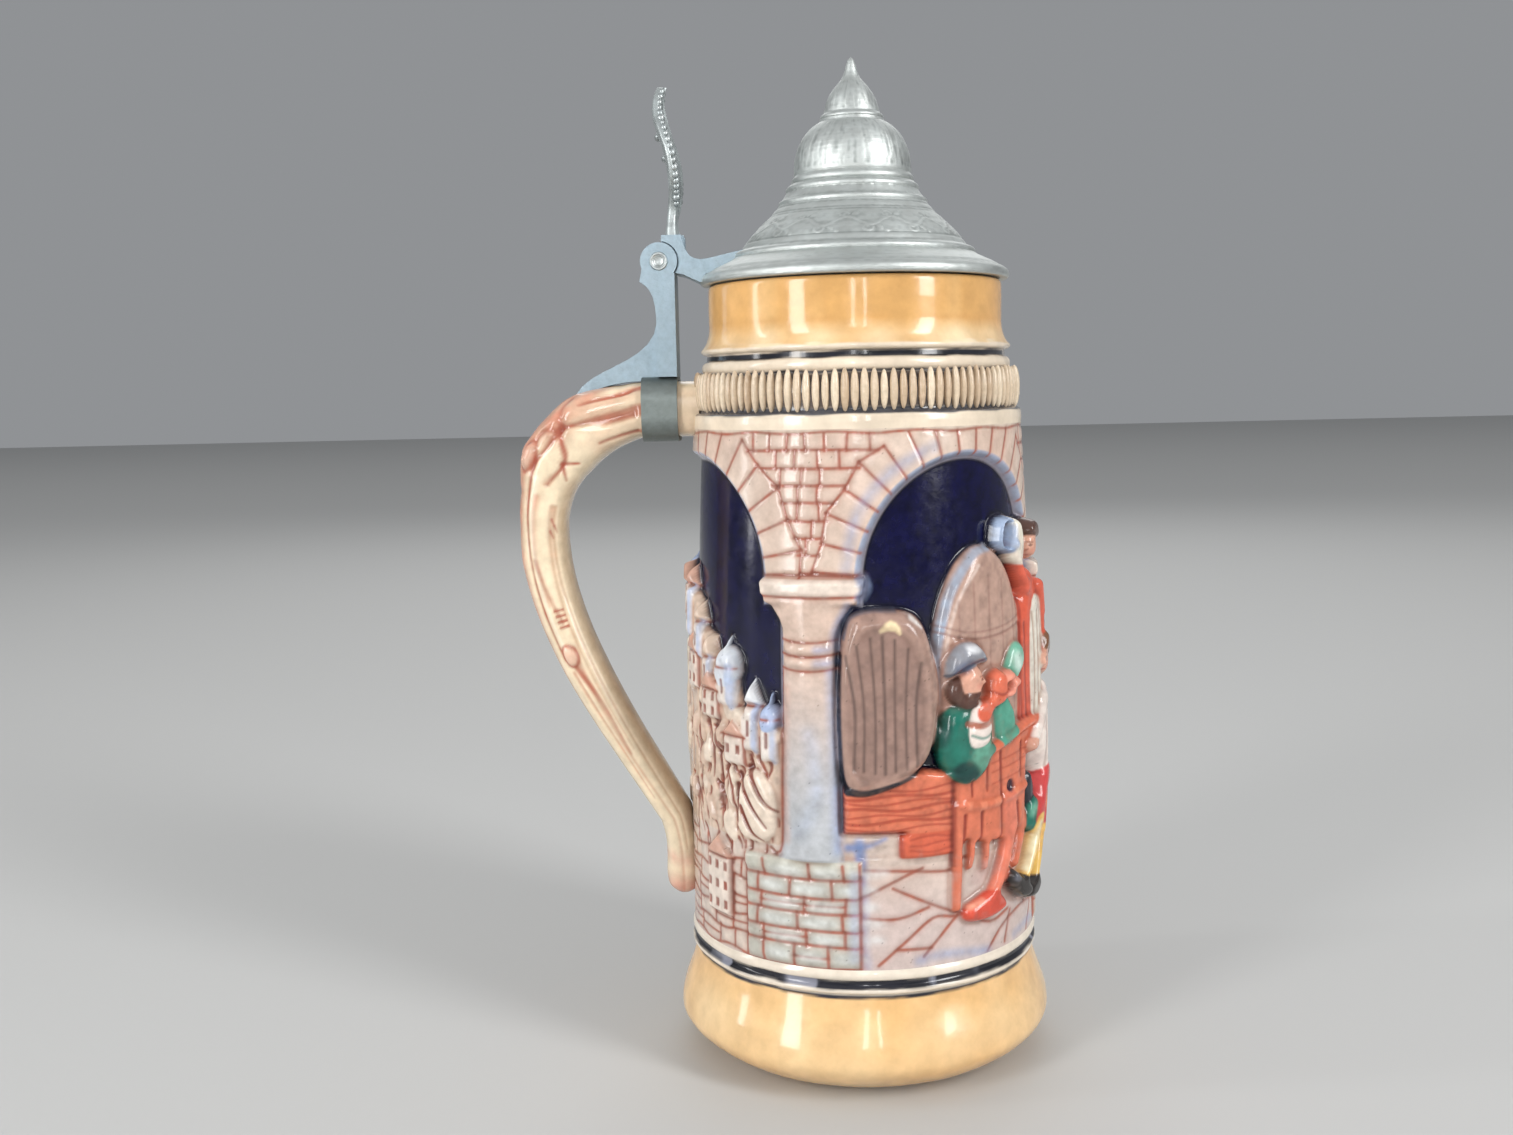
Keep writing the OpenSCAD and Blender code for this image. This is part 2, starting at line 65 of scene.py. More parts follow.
MM = 0.001  # metres in a millimetre; every size below is in millimetres
ARC_R = 43.0  # radius at which a panel's millimetres are true
MM_PER_DEG = math.radians(1) * ARC_R
WALL_LOW, WALL_TOP = 33.0, 160.0  # levels between which the arcade stands
SPRING = 124.5  # level at which the arches spring from the capitals
BRICK = "#ad6450"  # colour run into the joints between stones
INSIDE_GLAZE = "#e9dfd0"
Point = tuple[float, float]


# ------------------------------------------------------------------ sums and colours


def linear(tint: str) -> np.ndarray:
    """Turn a #rrggbb tint into linear red, green and blue.

    Args:
        tint: The colour as six hexadecimal digits after a hash.

    Returns:
        Three linear values from 0 to 1.
    """
    rgb = np.array([int(tint[i : i + 2], 16) for i in (1, 3, 5)]) / 255
    return np.where(rgb <= 0.04045, rgb / 12.92, ((rgb + 0.055) / 1.055) ** 2.4)


def rgba(tint: str) -> tuple[float, float, float, float]:
    """Turn a #rrggbb tint into the four numbers that a colour socket holds."""
    return (*(float(v) for v in linear(tint)), 1.0)


def ease(t: np.ndarray) -> np.ndarray:
    """Blend smoothly from 0 to 1 as t goes from 0 to 1."""
    t = np.clip(t, 0, 1)
    return t * t * (3 - 2 * t)


def mixed(under: np.ndarray, over: np.ndarray, share: np.ndarray) -> np.ndarray:
    """Lay one colour over another, by a share from 0 to 1."""
    return under * (1 - share) + over * share


def between(z: np.ndarray, low: float, high: float, soft: float = 0.5) -> np.ndarray:
    """Give 1 between two levels and 0 outside them, with soft edges."""
    return ease((z - low) / soft + 0.5) * ease((high - z) / soft + 0.5)


def cloud(rows: int, cols: int, cell_r: float, cell_c: float, seed: int) -> np.ndarray:
    """Make a soft random field that closes on itself across the columns.

    Args:
        rows: Number of rows.
        cols: Number of columns.
        cell_r: Rows from one random value to the next.
        cell_c: Columns from one random value to the next.
        seed: Seed of the random values.

    Returns:
        An array of rows by cols, from -1 to 1.
    """
    rng = np.random.default_rng(seed)
    nr, nc = int(rows / cell_r) + 3, max(2, round(cols / cell_c))
    grid = rng.uniform(-1, 1, (nr, nc))
    r, c = np.arange(rows) / cell_r, np.arange(cols) * nc / cols
    r0, c0 = r.astype(int), c.astype(int)
    c1 = (c0 + 1) % nc
    fr, fc = ease(r - r0)[:, None], ease(c - c0)[None]
    low = grid[r0][:, c0] * (1 - fc) + grid[r0][:, c1] * fc
    high = grid[r0 + 1][:, c0] * (1 - fc) + grid[r0 + 1][:, c1] * fc
    return low * (1 - fr) + high * fr


def soften(values: np.ndarray, reach: int, wrap: bool = True) -> np.ndarray:
    """Blur an array with two passes of a running mean.

    Args:
        values: Rows by columns.
        reach: Cells that the mean takes on each side.
        wrap: True if the columns close on themselves.

    Returns:
        The blurred array.
    """
    out = values
    for _ in range(2):
        for axis in (0, 1):
            pad = [(0, 0), (0, 0)]
            pad[axis] = (reach + 1, reach)
            mode = "wrap" if wrap and axis == 1 else "edge"
            run = np.cumsum(np.pad(out, pad, mode=mode), axis=axis)
            n = 2 * reach + 1
            size = run.shape[axis]
            out = (np.take(run, range(n, size), axis) - np.take(run, range(size - n), axis)) / n
    return out


def cubic(a: Point, b: Point, c: Point, d: Point, n: int) -> list[Point]:
    """Give n points of a cubic curve from a to d with handles b and c, without its first point.

    Args:
        a: Where it starts.
        b: Its first handle.
        c: Its second handle.
        d: Where it ends.
        n: Number of steps.

    Returns:
        The points after the first, up to d.
    """
    out = []
    for i in range(1, n + 1):
        t = i / n
        w = ((1 - t) ** 3, 3 * t * (1 - t) ** 2, 3 * t * t * (1 - t), t**3)
        out.append(tuple(sum(k * p[j] for k, p in zip(w, (a, b, c, d))) for j in (0, 1)))
    return out


def trace(start: Point, *legs: tuple) -> list[Point]:
    """Draw an outline of straight and curved legs.

    Args:
        start: Its first point.
        *legs: The next point of a straight leg, or the handles, end and steps of a curved one.

    Returns:
        The points of the outline.
    """
    out = [start]
    for leg in legs:
        out += cubic(out[-1], *leg) if isinstance(leg[0], tuple) else [leg]
    return out


def through(points: Sequence[Point], n: int = 5) -> np.ndarray:
    """Draw a smooth line through points.

    Args:
        points: Two or more points.
        n: Steps between neighbouring points.

    Returns:
        The points of the line, one row each.
    """
    p = np.asarray(points, float)
    if len(p) < 3:
        return p
    p = np.vstack([2 * p[0] - p[1], p, 2 * p[-1] - p[-2]])
    t = np.arange(n)[:, None] / n
    out = [
        0.5 * (2 * b + (c - a) * t + (2 * a - 5 * b + 4 * c - d) * t**2 + (3 * b - a - 3 * c + d) * t**3)
        for a, b, c, d in zip(p, p[1:], p[2:], p[3:])
    ]
    return np.vstack([*out, p[-2][None]])


def resample(profile: Sequence[Point], step: float) -> np.ndarray:
    """Space a profile's points evenly, but keep its corners.

    Args:
        profile: Points as (radius, height).
        step: Longest distance between neighbouring points.

    Returns:
        The denser profile, one row a point.
    """
    out = [np.asarray(profile[0], float)]
    for a, b in zip(profile, profile[1:]):
        a, b = np.asarray(a, float), np.asarray(b, float)
        n = max(1, math.ceil(float(np.hypot(*(b - a))) / step))
        out += [a + (b - a) * i / n for i in range(1, n + 1)]
    return np.array(out)


# ------------------------------------------------------------------ meshes


@dataclass
class Skin:
    """A grid of points in millimetres with a colour at each, which becomes a closed mesh.

    Rows run along the outline, up the outside first, and columns run anticlockwise seen from above.
    """

    place: np.ndarray
    paint: np.ndarray
    loop_rows: bool = False
    loop_cols: bool = True
    normals: Optional[np.ndarray] = None

    def mesh(self, name: str, sharp: float = 40.0) -> bpy.types.Object:
        """Build the mesh object.

        Args:
            name: Name of the object and its mesh.
            sharp: Angle in degrees past which an edge is kept sharp, where no normals are given.

        Returns:
            The linked object, at the origin.
        """
        shape = self.place.shape[:2]
        index = np.arange(shape[0] * shape[1]).reshape(shape)
        quads = self._quads(index)
        parts: list[np.ndarray] = [quads.reshape(-1)]
        totals = [np.full(len(quads), 4)]
        place, paint = self.place.reshape(-1, 3), self.paint.reshape(-1, 3)
        caps: tuple[np.ndarray, ...] = ()
        if not self.loop_cols:
            caps = (index[:, 0], index[::-1, -1])
        elif not self.loop_rows:
            caps = (index[0, ::-1], index[-1])
        parts += caps
        totals += [np.array([len(ring)]) for ring in caps]
        loops, total = np.concatenate(parts), np.concatenate(totals)
        mesh = bpy.data.meshes.new(name)
        mesh.vertices.add(len(place))
        mesh.vertices.foreach_set("co", (place * MM).astype(np.float32).ravel())
        mesh.loops.add(len(loops))
        mesh.loops.foreach_set("vertex_index", loops.astype(np.int32))
        mesh.polygons.add(len(total))
        mesh.polygons.foreach_set(
            "loop_start", np.concatenate([[0], np.cumsum(total)[:-1]]).astype(np.int32)
        )
        mesh.update(calc_edges=True)
        mesh.validate()
        layer = mesh.attributes.new("paint", "FLOAT_COLOR", "POINT")
        full = np.ones((len(place), 4), np.float32)
        full[:, :3] = np.clip(paint, 0, 1)
        layer.data.foreach_set("color", full.ravel())
        mesh.polygons.foreach_set("use_smooth", np.ones(len(mesh.polygons), bool))
        if self.normals is not None:
            mesh.normals_split_custom_set_from_vertices(self.normals.reshape(-1, 3))
        else:
            mesh.set_sharp_from_angle(angle=math.radians(sharp))
        return linked(name, mesh)

    def _quads(self, index: np.ndarray) -> np.ndarray:
        """Give the four corners of each cell, in an order that faces outwards.

        Args:
            index: The number of each point, rows by columns.

        Returns:
            One row of four points for each cell.
        """
        low = index if self.loop_rows else index[:-1]
        high = np.roll(index, -1, 0) if self.loop_rows else index[1:]
        if self.loop_cols:
            return np.stack([low, np.roll(low, -1, 1), np.roll(high, -1, 1), high], -1).reshape(-1, 4)
        return np.stack([low[:, :-1], low[:, 1:], high[:, 1:], high[:, :-1]], -1).reshape(-1, 4)


def linked(name: str, mesh: bpy.types.Mesh) -> bpy.types.Object:
    """Make an object of a mesh and put it in the scene.

    Args:
        name: Name of the object.
        mesh: Its mesh.

    Returns:
        The object.
    """
    obj = bpy.data.objects.new(name, mesh)
    bpy.context.scene.collection.objects.link(obj)
    return obj


def turned(profile: np.ndarray, cols: int, swell: Optional[np.ndarray] = None) -> np.ndarray:
    """Turn a profile about the vertical axis.

    Args:
        profile: Points as (radius, height).
        cols: Number of columns round the axis.
        swell: What is added to the radius, rows by cols.

    Returns:
        The places, rows by cols by 3.
    """
    angle = np.arange(cols) * 2 * math.pi / cols
    radius = np.repeat(profile[:, :1], cols, 1)
    if swell is not None:
        radius = radius + swell
    return np.stack([radius * np.cos(angle), radius * np.sin(angle), np.repeat(profile[:, 1:], cols, 1)], -1)


def normals_of(place: np.ndarray, loop_rows: bool) -> np.ndarray:
    """Give the unit normals of a grid that closes on itself across the columns.

    Args:
        place: The points, rows by columns by 3.
        loop_rows: True if the rows close on themselves too.

    Returns:
        The normals, rows by columns by 3.
    """
    along = np.roll(place, -1, 1) - np.roll(place, 1, 1)
    up = np.roll(place, -1, 0) - np.roll(place, 1, 0)
    if not loop_rows:
        up[0], up[-1] = place[1] - place[0], place[-1] - place[-2]
    out = np.cross(along, up)
    return out / np.maximum(np.linalg.norm(out, axis=-1, keepdims=True), 1e-9)


# ------------------------------------------------------------------ relief drawing


@dataclass(frozen=True)
class Blob:
    """A closed shape through points, rounded by cutting its corners."""

    points: tuple[Point, ...]
    rounds: int = 2

    def outline(self) -> np.ndarray:
        """Give the rounded outline.

        Returns:
            The points, one row each.
        """
        p = np.asarray(self.points, float)
        for _ in range(self.rounds):
            q = np.roll(p, -1, 0)
            p = np.stack([0.75 * p + 0.25 * q, 0.25 * p + 0.75 * q], 1).reshape(-1, 2)
        return p

    def box(self) -> tuple[np.ndarray, np.ndarray]:
        """Give the lowest and highest corner."""
        p = self.outline()
        return p.min(0), p.max(0)

    def distance(self, x: np.ndarray, z: np.ndarray) -> np.ndarray:
        """Give the distance to the outline, negative inside.

        Args:
            x: Places across the board.
            z: Levels on the board, as many as x.

        Returns:
            The distances.
        """
        p = self.outline()
        best, inside = np.full(x.shape, 1e9), np.zeros(x.shape, bool)
        for (ax, az), (bx, bz) in zip(p, np.roll(p, -1, 0)):
            ex, ez = bx - ax, bz - az
            t = np.clip(((x - ax) * ex + (z - az) * ez) / max(ex * ex + ez * ez, 1e-12), 0, 1)
            best = np.minimum(best, (x - ax - t * ex) ** 2 + (z - az - t * ez) ** 2)
            inside ^= ((az > z) != (bz > z)) & (x < ex * (z - az) / (ez or 1e-9) + ax)
        return np.where(inside, -1, 1) * np.sqrt(best)


@dataclass(frozen=True)
class Oval:
    """An ellipse, turned anticlockwise by some degrees."""

    x: float
    z: float
    a: float
    b: float
    turn: float = 0.0

    def box(self) -> tuple[np.ndarray, np.ndarray]:
        """Give the lowest and highest corner."""
        r = max(self.a, self.b)
        return np.array([self.x - r, self.z - r]), np.array([self.x + r, self.z + r])

    def distance(self, x: np.ndarray, z: np.ndarray) -> np.ndarray:
        """Give about the distance to the edge, negative inside.

        Args:
            x: Places across the board.
            z: Levels on the board, as many as x.

        Returns:
            The distances.
        """
        c, s = math.cos(math.radians(self.turn)), math.sin(math.radians(self.turn))
        u, v = (x - self.x) * c + (z - self.z) * s, (z - self.z) * c - (x - self.x) * s
        k = np.hypot(u / self.a, v / self.b)
        slope = np.hypot(u / self.a**2, v / self.b**2)
        return k * (k - 1) / np.maximum(slope, 1e-6)


@dataclass(frozen=True)
class Stroke:
    """A line of a brush or a modelling tool: it may taper from one width to another."""

    points: tuple[Point, ...]
    width: float
    end: Optional[float] = None

    def box(self) -> tuple[np.ndarray, np.ndarray]:
        """Give the lowest and highest corner."""
        p, w = through(self.points), max(self.width, self.end or 0) / 2
        return p.min(0) - w, p.max(0) + w

    def distance(self, x: np.ndarray, z: np.ndarray) -> np.ndarray:
        """Give the distance to the stroke's edge, negative inside.

        Args:
            x: Places across the board.
            z: Levels on the board, as many as x.

        Returns:
            The distances.
        """
        p = through(self.points)
        end = self.width if self.end is None else self.end
        width = np.linspace(self.width, end, len(p)) / 2
        best = np.full(x.shape, 1e9)
        for (ax, az), (bx, bz), w0, w1 in zip(p, p[1:], width, width[1:]):
            ex, ez = bx - ax, bz - az
            t = np.clip(((x - ax) * ex + (z - az) * ez) / max(ex * ex + ez * ez, 1e-12), 0, 1)
            best = np.minimum(best, np.hypot(x - ax - t * ex, z - az - t * ez) - w0 - (w1 - w0) * t)
        return best


Shape = Blob | Oval | Stroke


def box_blob(x0: float, z0: float, x1: float, z1: float) -> Blob:
    """Make an upright rectangle with sharp corners."""
    return Blob(((x0, z0), (x1, z0), (x1, z1), (x0, z1)), 0)


class Panel:
    """A drawing board in millimetres that holds the height and the paint of a piece of the wall."""

    def __init__(
        self, x: np.ndarray, z: np.ndarray, height: np.ndarray, paint: np.ndarray, seed: int = 1
    ) -> None:
        """Set up the board.

        Args:
            x: Places of the columns, rising.
            z: Places of the rows, rising.
            height: Height of the relief, rows by columns.
            paint: Linear colour, rows by columns by 3.
            seed: Seed of the uneven paint.
        """
        self.x, self.z, self.height, self.paint = x, z, height, paint
        self.mottle = 0.6 * cloud(len(z), len(x), 9, 7, seed) + 0.4 * cloud(len(z), len(x), 3, 3, seed + 1)

    def _at(self, shape: Shape, margin: float) -> tuple[tuple[slice, slice], np.ndarray]:
        """Give the part of the board that a shape touches, and the distances there.

        Args:
            shape: The shape.
            margin: How far past its box to look.

        Returns:
            The rows and columns, and the distances.
        """
        lo, hi = shape.box()
        rows = slice(*np.searchsorted(self.z, (lo[1] - margin, hi[1] + margin)))
        cols = slice(*np.searchsorted(self.x, (lo[0] - margin, hi[0] + margin)))
        x, z = np.meshgrid(self.x[cols], self.z[rows])
        return (rows, cols), shape.distance(x, z)

    def _cover(self, part: tuple[slice, slice], share: np.ndarray, tint: str, uneven: float) -> None:
        """Lay a tint over part of the board, unevenly, as a brush does.

        Args:
            part: Rows and columns to paint.
            share: How much of the tint to lay there, from 0 to 1.
            tint: The colour.
            uneven: How uneven it is.
        """
        mottle = self.mottle[part]
        share = np.clip(share * (1 + uneven * 1.2 * mottle), 0, 1)[..., None]
        colour = linear(tint) * (1 + uneven * mottle[..., None])
        self.paint[part] = mixed(self.paint[part], colour, share)

    def form(self, shape: Shape, level: float, soft: float, tint: str, uneven: float = 0.16) -> None:
        """Model a rounded form and paint it.

        Args:
            shape: Outline of the form.
            level: Height that the form reaches.
            soft: Distance from the edge over which it gets there.
            tint: Its colour.
            uneven: How uneven its paint is.
        """
        part, d = self._at(shape, 1)
        t = np.clip(-d / soft, 0, 1)
        h = self.height[part]
        raised = h + (level - h) * np.sqrt(1 - (1 - t) ** 2)
        self.height[part] = np.where(d < 0, np.maximum(h, raised), h)
        self._cover(part, ease(0.5 - d / 0.5), tint, uneven)

    def carve(
        self, shape: Shape, depth: float, tint: str = "", share: float = 1.0, feather: float = 0.5
    ) -> None:
        """Press a shape into the surface, and tint it where a tint is given.

        Args:
            shape: The shape to press in.
            depth: How deep.
            tint: The colour in it, or nothing.
            share: How strong the colour is.
            feather: Width over which its edge fades.
        """
        part, d = self._at(shape, 1)
        k = ease(0.5 - d / feather)
        self.height[part] -= depth * k
        if tint:
            self._cover(part, k * share, tint, 0.3)

    def brush(self, shape: Shape, tint: str, share: float = 1.0, feather: float = 0.6) -> None:
        """Paint a shape without changing the surface."""
        part, d = self._at(shape, feather)
        self._cover(part, ease(0.5 - d / (2 * feather)) * share, tint, 0.25)

    def joint(self, *points: Point, width: float = 0.75, depth: float = 0.28, tint: str = BRICK) -> None:
        """Draw a joint between stones: a shallow groove with colour run into it."""
        self.brush(Stroke(points, width * 2.4), tint, 0.24, 1.1)
        self.carve(Stroke(points, width), depth, tint, 0.85)


# ------------------------------------------------------------------ the arcade's pictures


@dataclass(frozen=True)
class Dress:
    """What one bay's people wear, so that the bays differ."""

    waistcoat: str = "#14705f"
    # lit and shaded copies of the waistcoat colour: painted light and shade
    waistcoat_lit: str = "#6fb59a"
    waistcoat_shaded: str = "#0d3d3a"
    sleeve: str = "#4fa48b"
    shirt: str = "#ecdcd2"
    coat: str = "#dc5a3c"
    breeches: str = "#d2403f"
    stocking: str = "#ecbb58"
    hat: str = "#8e9098"
    skin: str = "#e2a78d"
    hair: str = "#5a3b31"
    wood: str = "#dc7350"
    wood_dark: str = "#b3482f"
    cask: str = "#ab897a"
    cask_dark: str = "#5b4a45"


@dataclass
class Tavern:
    """A cellar picture: casks on a timber stand, a seated drinker, a table and company."""

    dress: Dress = field(default_factory=Dress)

    def draw(self, p: Panel) -> None:
        """Draw the whole picture on a panel whose x is 0 in the middle of the bay.

        Args:
            p: The panel to draw on.
        """
        for part in (
            self._paving, self._stand, self._casks, self._company, self._table, self._drinker, self._sitter
        ):
            part(p)

    def _paving(self, p: Panel) -> None:
        """Draw the paved floor, seen slightly from above.

        Args:
            p: The panel to draw on.
        """
        p.form(box_blob(-35.5, 58, 35.5, 66), -0.3, 2.0, "#cdb9ac")
        for line in (
            ((-29.5, 57.2), (-19, 56.6), (-9, 55.6), (-5, 56.2)),
            ((-29.2, 50.5), (-20, 55.0), (-15, 57.0)),
            ((-22, 52.6), (-14, 48.6), (-7.5, 45.6), (-3.0, 44.4)),
            ((-29.5, 45.6), (-21, 45.2), (-13.5, 47.4)),
            ((-25.5, 34.0), (-19, 39.6), (-12.5, 44.6), (-7, 44.2)),
            ((-14.8, 35.5), (-9, 41.6), (-6, 44.4)),
            ((-21, 37.6), (-12.8, 37.4)),
            ((-8, 56), (-3, 59)),
            ((-4, 44.2), (4, 40.6), (11, 42.0)),
            ((3, 33.5), (9, 38.6), (18, 41.0), (29, 39.8)),
            ((12, 41.4), (9.5, 34.0)),
            ((20, 41), (24, 46.5), (33, 48.0)),
            ((21.5, 33.5), (26, 40.2)),
            ((26, 47.2), (23.5, 55.5)),
            ((18.5, 52.2), (24, 53.2), (34, 55.0)),
        ):
            p.joint(*line)
        p.brush(Stroke(((-29.3, 61), (-28.8, 52), (-29.0, 40), (-28.2, 34)), 2.2), "#8f9cc4", 0.6, 1.2)
        p.brush(Stroke(((-32, 62.5), (-27.5, 63.0), (-23.5, 64.6)), 2.0, 0.6), "#6f88bd", 0.75, 0.8)
        p.brush(Stroke(((-29.6, 63.5), (-29.2, 58), (-29.0, 53)), 2.4, 1.0), "#6a8cc6", 0.7, 1.0)
        p.brush(Stroke(((-16, 34.6), (-10, 35.4), (3, 33.8)), 2.2), "#8aa0c8", 0.5, 1.2)
        p.brush(Stroke(((14, 34.6), (22, 35.6), (31, 34.2)), 2.0), "#8aa0c8", 0.45, 1.2)

    def _stand(self, p: Panel) -> None:
        """Draw the timber stand under the casks, with its grain.

        Args:
            p: The panel to draw on.
        """
        d = self.dress
        p.form(
            Blob(((-20.6, 60.2), (-19.4, 59.6), (-4, 59.8), (-4, 67), (-20.2, 67)), 1), 0.9, 1.1, "#d55f3e"
        )
        p.form(Blob(((-33.2, 65.8), (-4, 65.8), (-4, 79), (-14, 80.5), (-33.2, 77)), 0), 1.1, 1.0, d.wood)
        for i, z in enumerate((67.1, 68.9, 70.3, 71.9, 73.4, 74.8, 76.3)):
            wave = tuple(
                (x, z + 0.45 * math.sin(0.33 * x + i * 1.7) + 0.02 * (x + 20)) for x in range(-33, -3, 4)
            )
            p.carve(Stroke(wave, 0.75 if i % 2 else 0.5), 0.22, d.wood_dark, 0.8)
        for z in (61.4, 63.0, 64.6):
            wave = tuple((x, z + 0.4 * math.sin(0.5 * x + z)) for x in range(-18, -4, 3))
            p.carve(Stroke(wave, 0.5), 0.18, d.wood_dark, 0.7)
        p.brush(Stroke(((-33, 66.2), (-19.5, 66.0)), 1.0), "#a8412f", 0.7, 0.5)
        p.brush(Stroke(((-20, 60.6), (-20, 65.8)), 1.2), "#a8412f", 0.6, 0.5)

    def _casks(self, p: Panel) -> None:
        """Draw the two casks, standing on their ends and leaning back.

        Args:
            p: The panel to draw on.
        """
        d = self.dress
        big = Oval(3.4, 103.5, 15.2, 28.4)
        # the large cask's own colour, made lighter as a painted sheen
        p.form(big, 1.5, 4.6, "#bd9988")
        p.brush(
            Stroke(((-11.6, 96), (-10.9, 108), (-7.2, 121), (-0.5, 129.6), (6, 131.4)), 2.2, 1.4), "#9aa7ba",
            0.85, 0.5
        )
        p.brush(Stroke(((-9.6, 100), (-8.7, 110), (-5.4, 120), (0.5, 127.4)), 0.8), "#e3ccc0", 0.7, 0.4)
        for x in (-5.5, -1.2, 3.4, 8.0, 12.4):
            top = 103.5 + 25.6 * math.sqrt(max(0.05, 1 - ((x - 3.4) / 14.2) ** 2))
            p.carve(Stroke(((x, 92), (x + 0.2, 108), (x, top - 4)), 0.55), 0.14, "#9c7266", 0.35)
        p.carve(Stroke(((-10.6, 112.6), (-2, 110.4), (8, 110.8), (17, 113)), 0.6), 0.25, "#8c6259", 0.5)
        p.carve(Stroke(((-10.9, 114.2), (-2, 112.0), (8, 112.4), (17, 114.6)), 0.5), 0.2, "#8c6259", 0.4)
        side = Blob(
            (
                (-33.9, 107), (-32.4, 115.6), (-30.0, 118.3), (-21.4, 118.6), (-15.4, 117.2), (-12.4, 112.4),
                (-10.9, 104.5), (-10.3, 95), (-11.6, 85.5), (-14.6, 80.6), (-18.8, 78.4), (-25.8, 75.6),
                (-31.6, 75.2), (-33.9, 80), (-34.4, 92)
            ),
            2
        )
        p.form(side, 2.7, 4.2, d.cask)
        inner = Blob(
            (
                (-31.6, 105), (-29.4, 113.4), (-24, 115.4), (-18.2, 113), (-14.9, 105), (-14.0, 94),
                (-15.6, 85), (-19.6, 81.2), (-26.4, 78.4), (-30.6, 79.4), (-32.2, 90)
            ),
            2
        )
        p.carve(inner, 0.55, "", 1, 1.6)
        p.brush(inner, "#8d6f65", 0.55, 0.8)
        for i, x in enumerate((-30.1, -28.1, -25.7, -23.6, -21.4, -19.0, -16.7)):
            lean = 0.03 * (x + 22)
            low, high = 80.5 + 0.2 * abs(x + 24), 112.6 - 0.12 * (x + 24) ** 2
            gap = Stroke(((x + 1.2 * lean, low), (x, 96), (x + 8 * lean, high)), 0.55 if i % 3 else 0.7)
            p.carve(gap, 0.28, d.cask_dark, 0.6)
        # paler strip down the cask's right edge: painted highlight
        p.brush(Stroke(((-13.0, 110), (-11.8, 102), (-11.6, 93), (-13.3, 84.5)), 1.6), "#c3a496", 0.6, 0.7)
        # near-black strip down the cask's left edge: painted outline and shadow
        p.brush(Stroke(((-33.7, 108), (-34.0, 95), (-33.4, 80), (-31.9, 76.2)), 1.7), "#23242f", 0.92, 0.35)
        p.brush(
            Stroke(((-32.6, 112), (-31.2, 116.6), (-27, 118.3), (-20.6, 118.2)), 0.8), "#5a6274", 0.7, 0.4
        )
        # near-black strip under the cask's foot: painted outline and shadow
        p.brush(
            Stroke(((-31.9, 76.4), (-28, 76.0), (-23.4, 77.2), (-18.6, 78.9), (-13.6, 81.6)), 2.2, 0.7),
            "#22222b", 0.95, 0.3
        )
        p.brush(
            Blob(((-25.3, 113.2), (-22.6, 116.6), (-20.4, 115.6), (-19.6, 112.4), (-21.6, 114.2)), 1),
            "#ecd5a8", 0.9, 0.4
        )
        p.brush(Stroke(((-17.2, 116.6), (-14.8, 114.2)), 1.1, 0.5), "#f2ece6", 0.8, 0.4)

    def _company(self, p: Panel) -> None:
        """Draw the cellarman in a long coat, who stands behind the table and lifts a jug.

        Args:
            p: The panel to draw on.
        """
        d = self.dress
        p.form(
            Blob(
                (
                    (13.2, 84), (13.8, 104), (15.6, 119), (19.5, 126), (26.5, 125), (30.5, 116), (31.4, 98),
                    (31, 80), (20, 78)
                ),
                2
            ),
            2.4, 4.0, d.coat
        )
        p.form(Stroke(((18.6, 121), (15.6, 125.4), (13.4, 130.6)), 4.6, 3.2), 3.2, 2.0, d.coat)
        p.form(Oval(12.8, 131.6, 1.8, 1.7), 3.7, 1.4, d.skin)
        p.form(
            Blob(((11.6, 126.6), (17.4, 126.2), (18.6, 132.4), (17, 137.8), (12.8, 138.2), (11.4, 133)), 2),
            3.0, 2.0, "#e9e0cf"
        )
        p.form(Stroke(((11.6, 130), (8.6, 131.6), (9.6, 136.6), (13, 137.4)), 1.6), 2.6, 0.8, "#9fb2cf")
        p.brush(Blob(((9.4, 129), (13.4, 130), (13.8, 137), (10.4, 137.6)), 1), "#8fa6ca", 0.75, 0.8)
        p.form(Oval(23.8, 130.6, 3.5, 4.4), 3.2, 2.8, d.skin)
        p.form(
            Blob(
                (
                    (19.6, 132.6), (21, 136.6), (25.8, 137.4), (28.6, 133.6), (28.2, 129), (26.4, 131.8),
                    (22, 132.8)
                ),
                2
            ),
            3.7, 1.6, d.hair
        )
        self._features(p, 21.9, 130.2, -1)
        p.form(
            Blob(((20, 118), (28, 118), (29.5, 100), (27, 84), (19.4, 84), (18.4, 100)), 2), 3.2, 3.2,
            "#e2dacb"
        )
        for x in (20.6, 23.4, 26.4):
            p.carve(Stroke(((x, 114), (x + 0.5, 100), (x - 0.3, 87)), 0.8), 0.4, "#b99a86", 0.6)
        p.form(Stroke(((27.6, 120), (30.2, 110), (27.6, 102.6)), 4.6, 3.6), 4.1, 2.2, d.coat)
        p.form(Oval(26.4, 101.6, 1.9, 1.6), 4.4, 1.4, d.skin)
        for x in (15.2, 17.0, 30.0):
            p.carve(Stroke(((x, 112), (x - 0.4, 98), (x + 0.2, 86)), 0.7), 0.35, "#a63c2c", 0.7)
        p.brush(Stroke(((14.0, 88), (14.4, 104), (16.2, 118)), 0.9), "#8e3429", 0.6, 0.4)

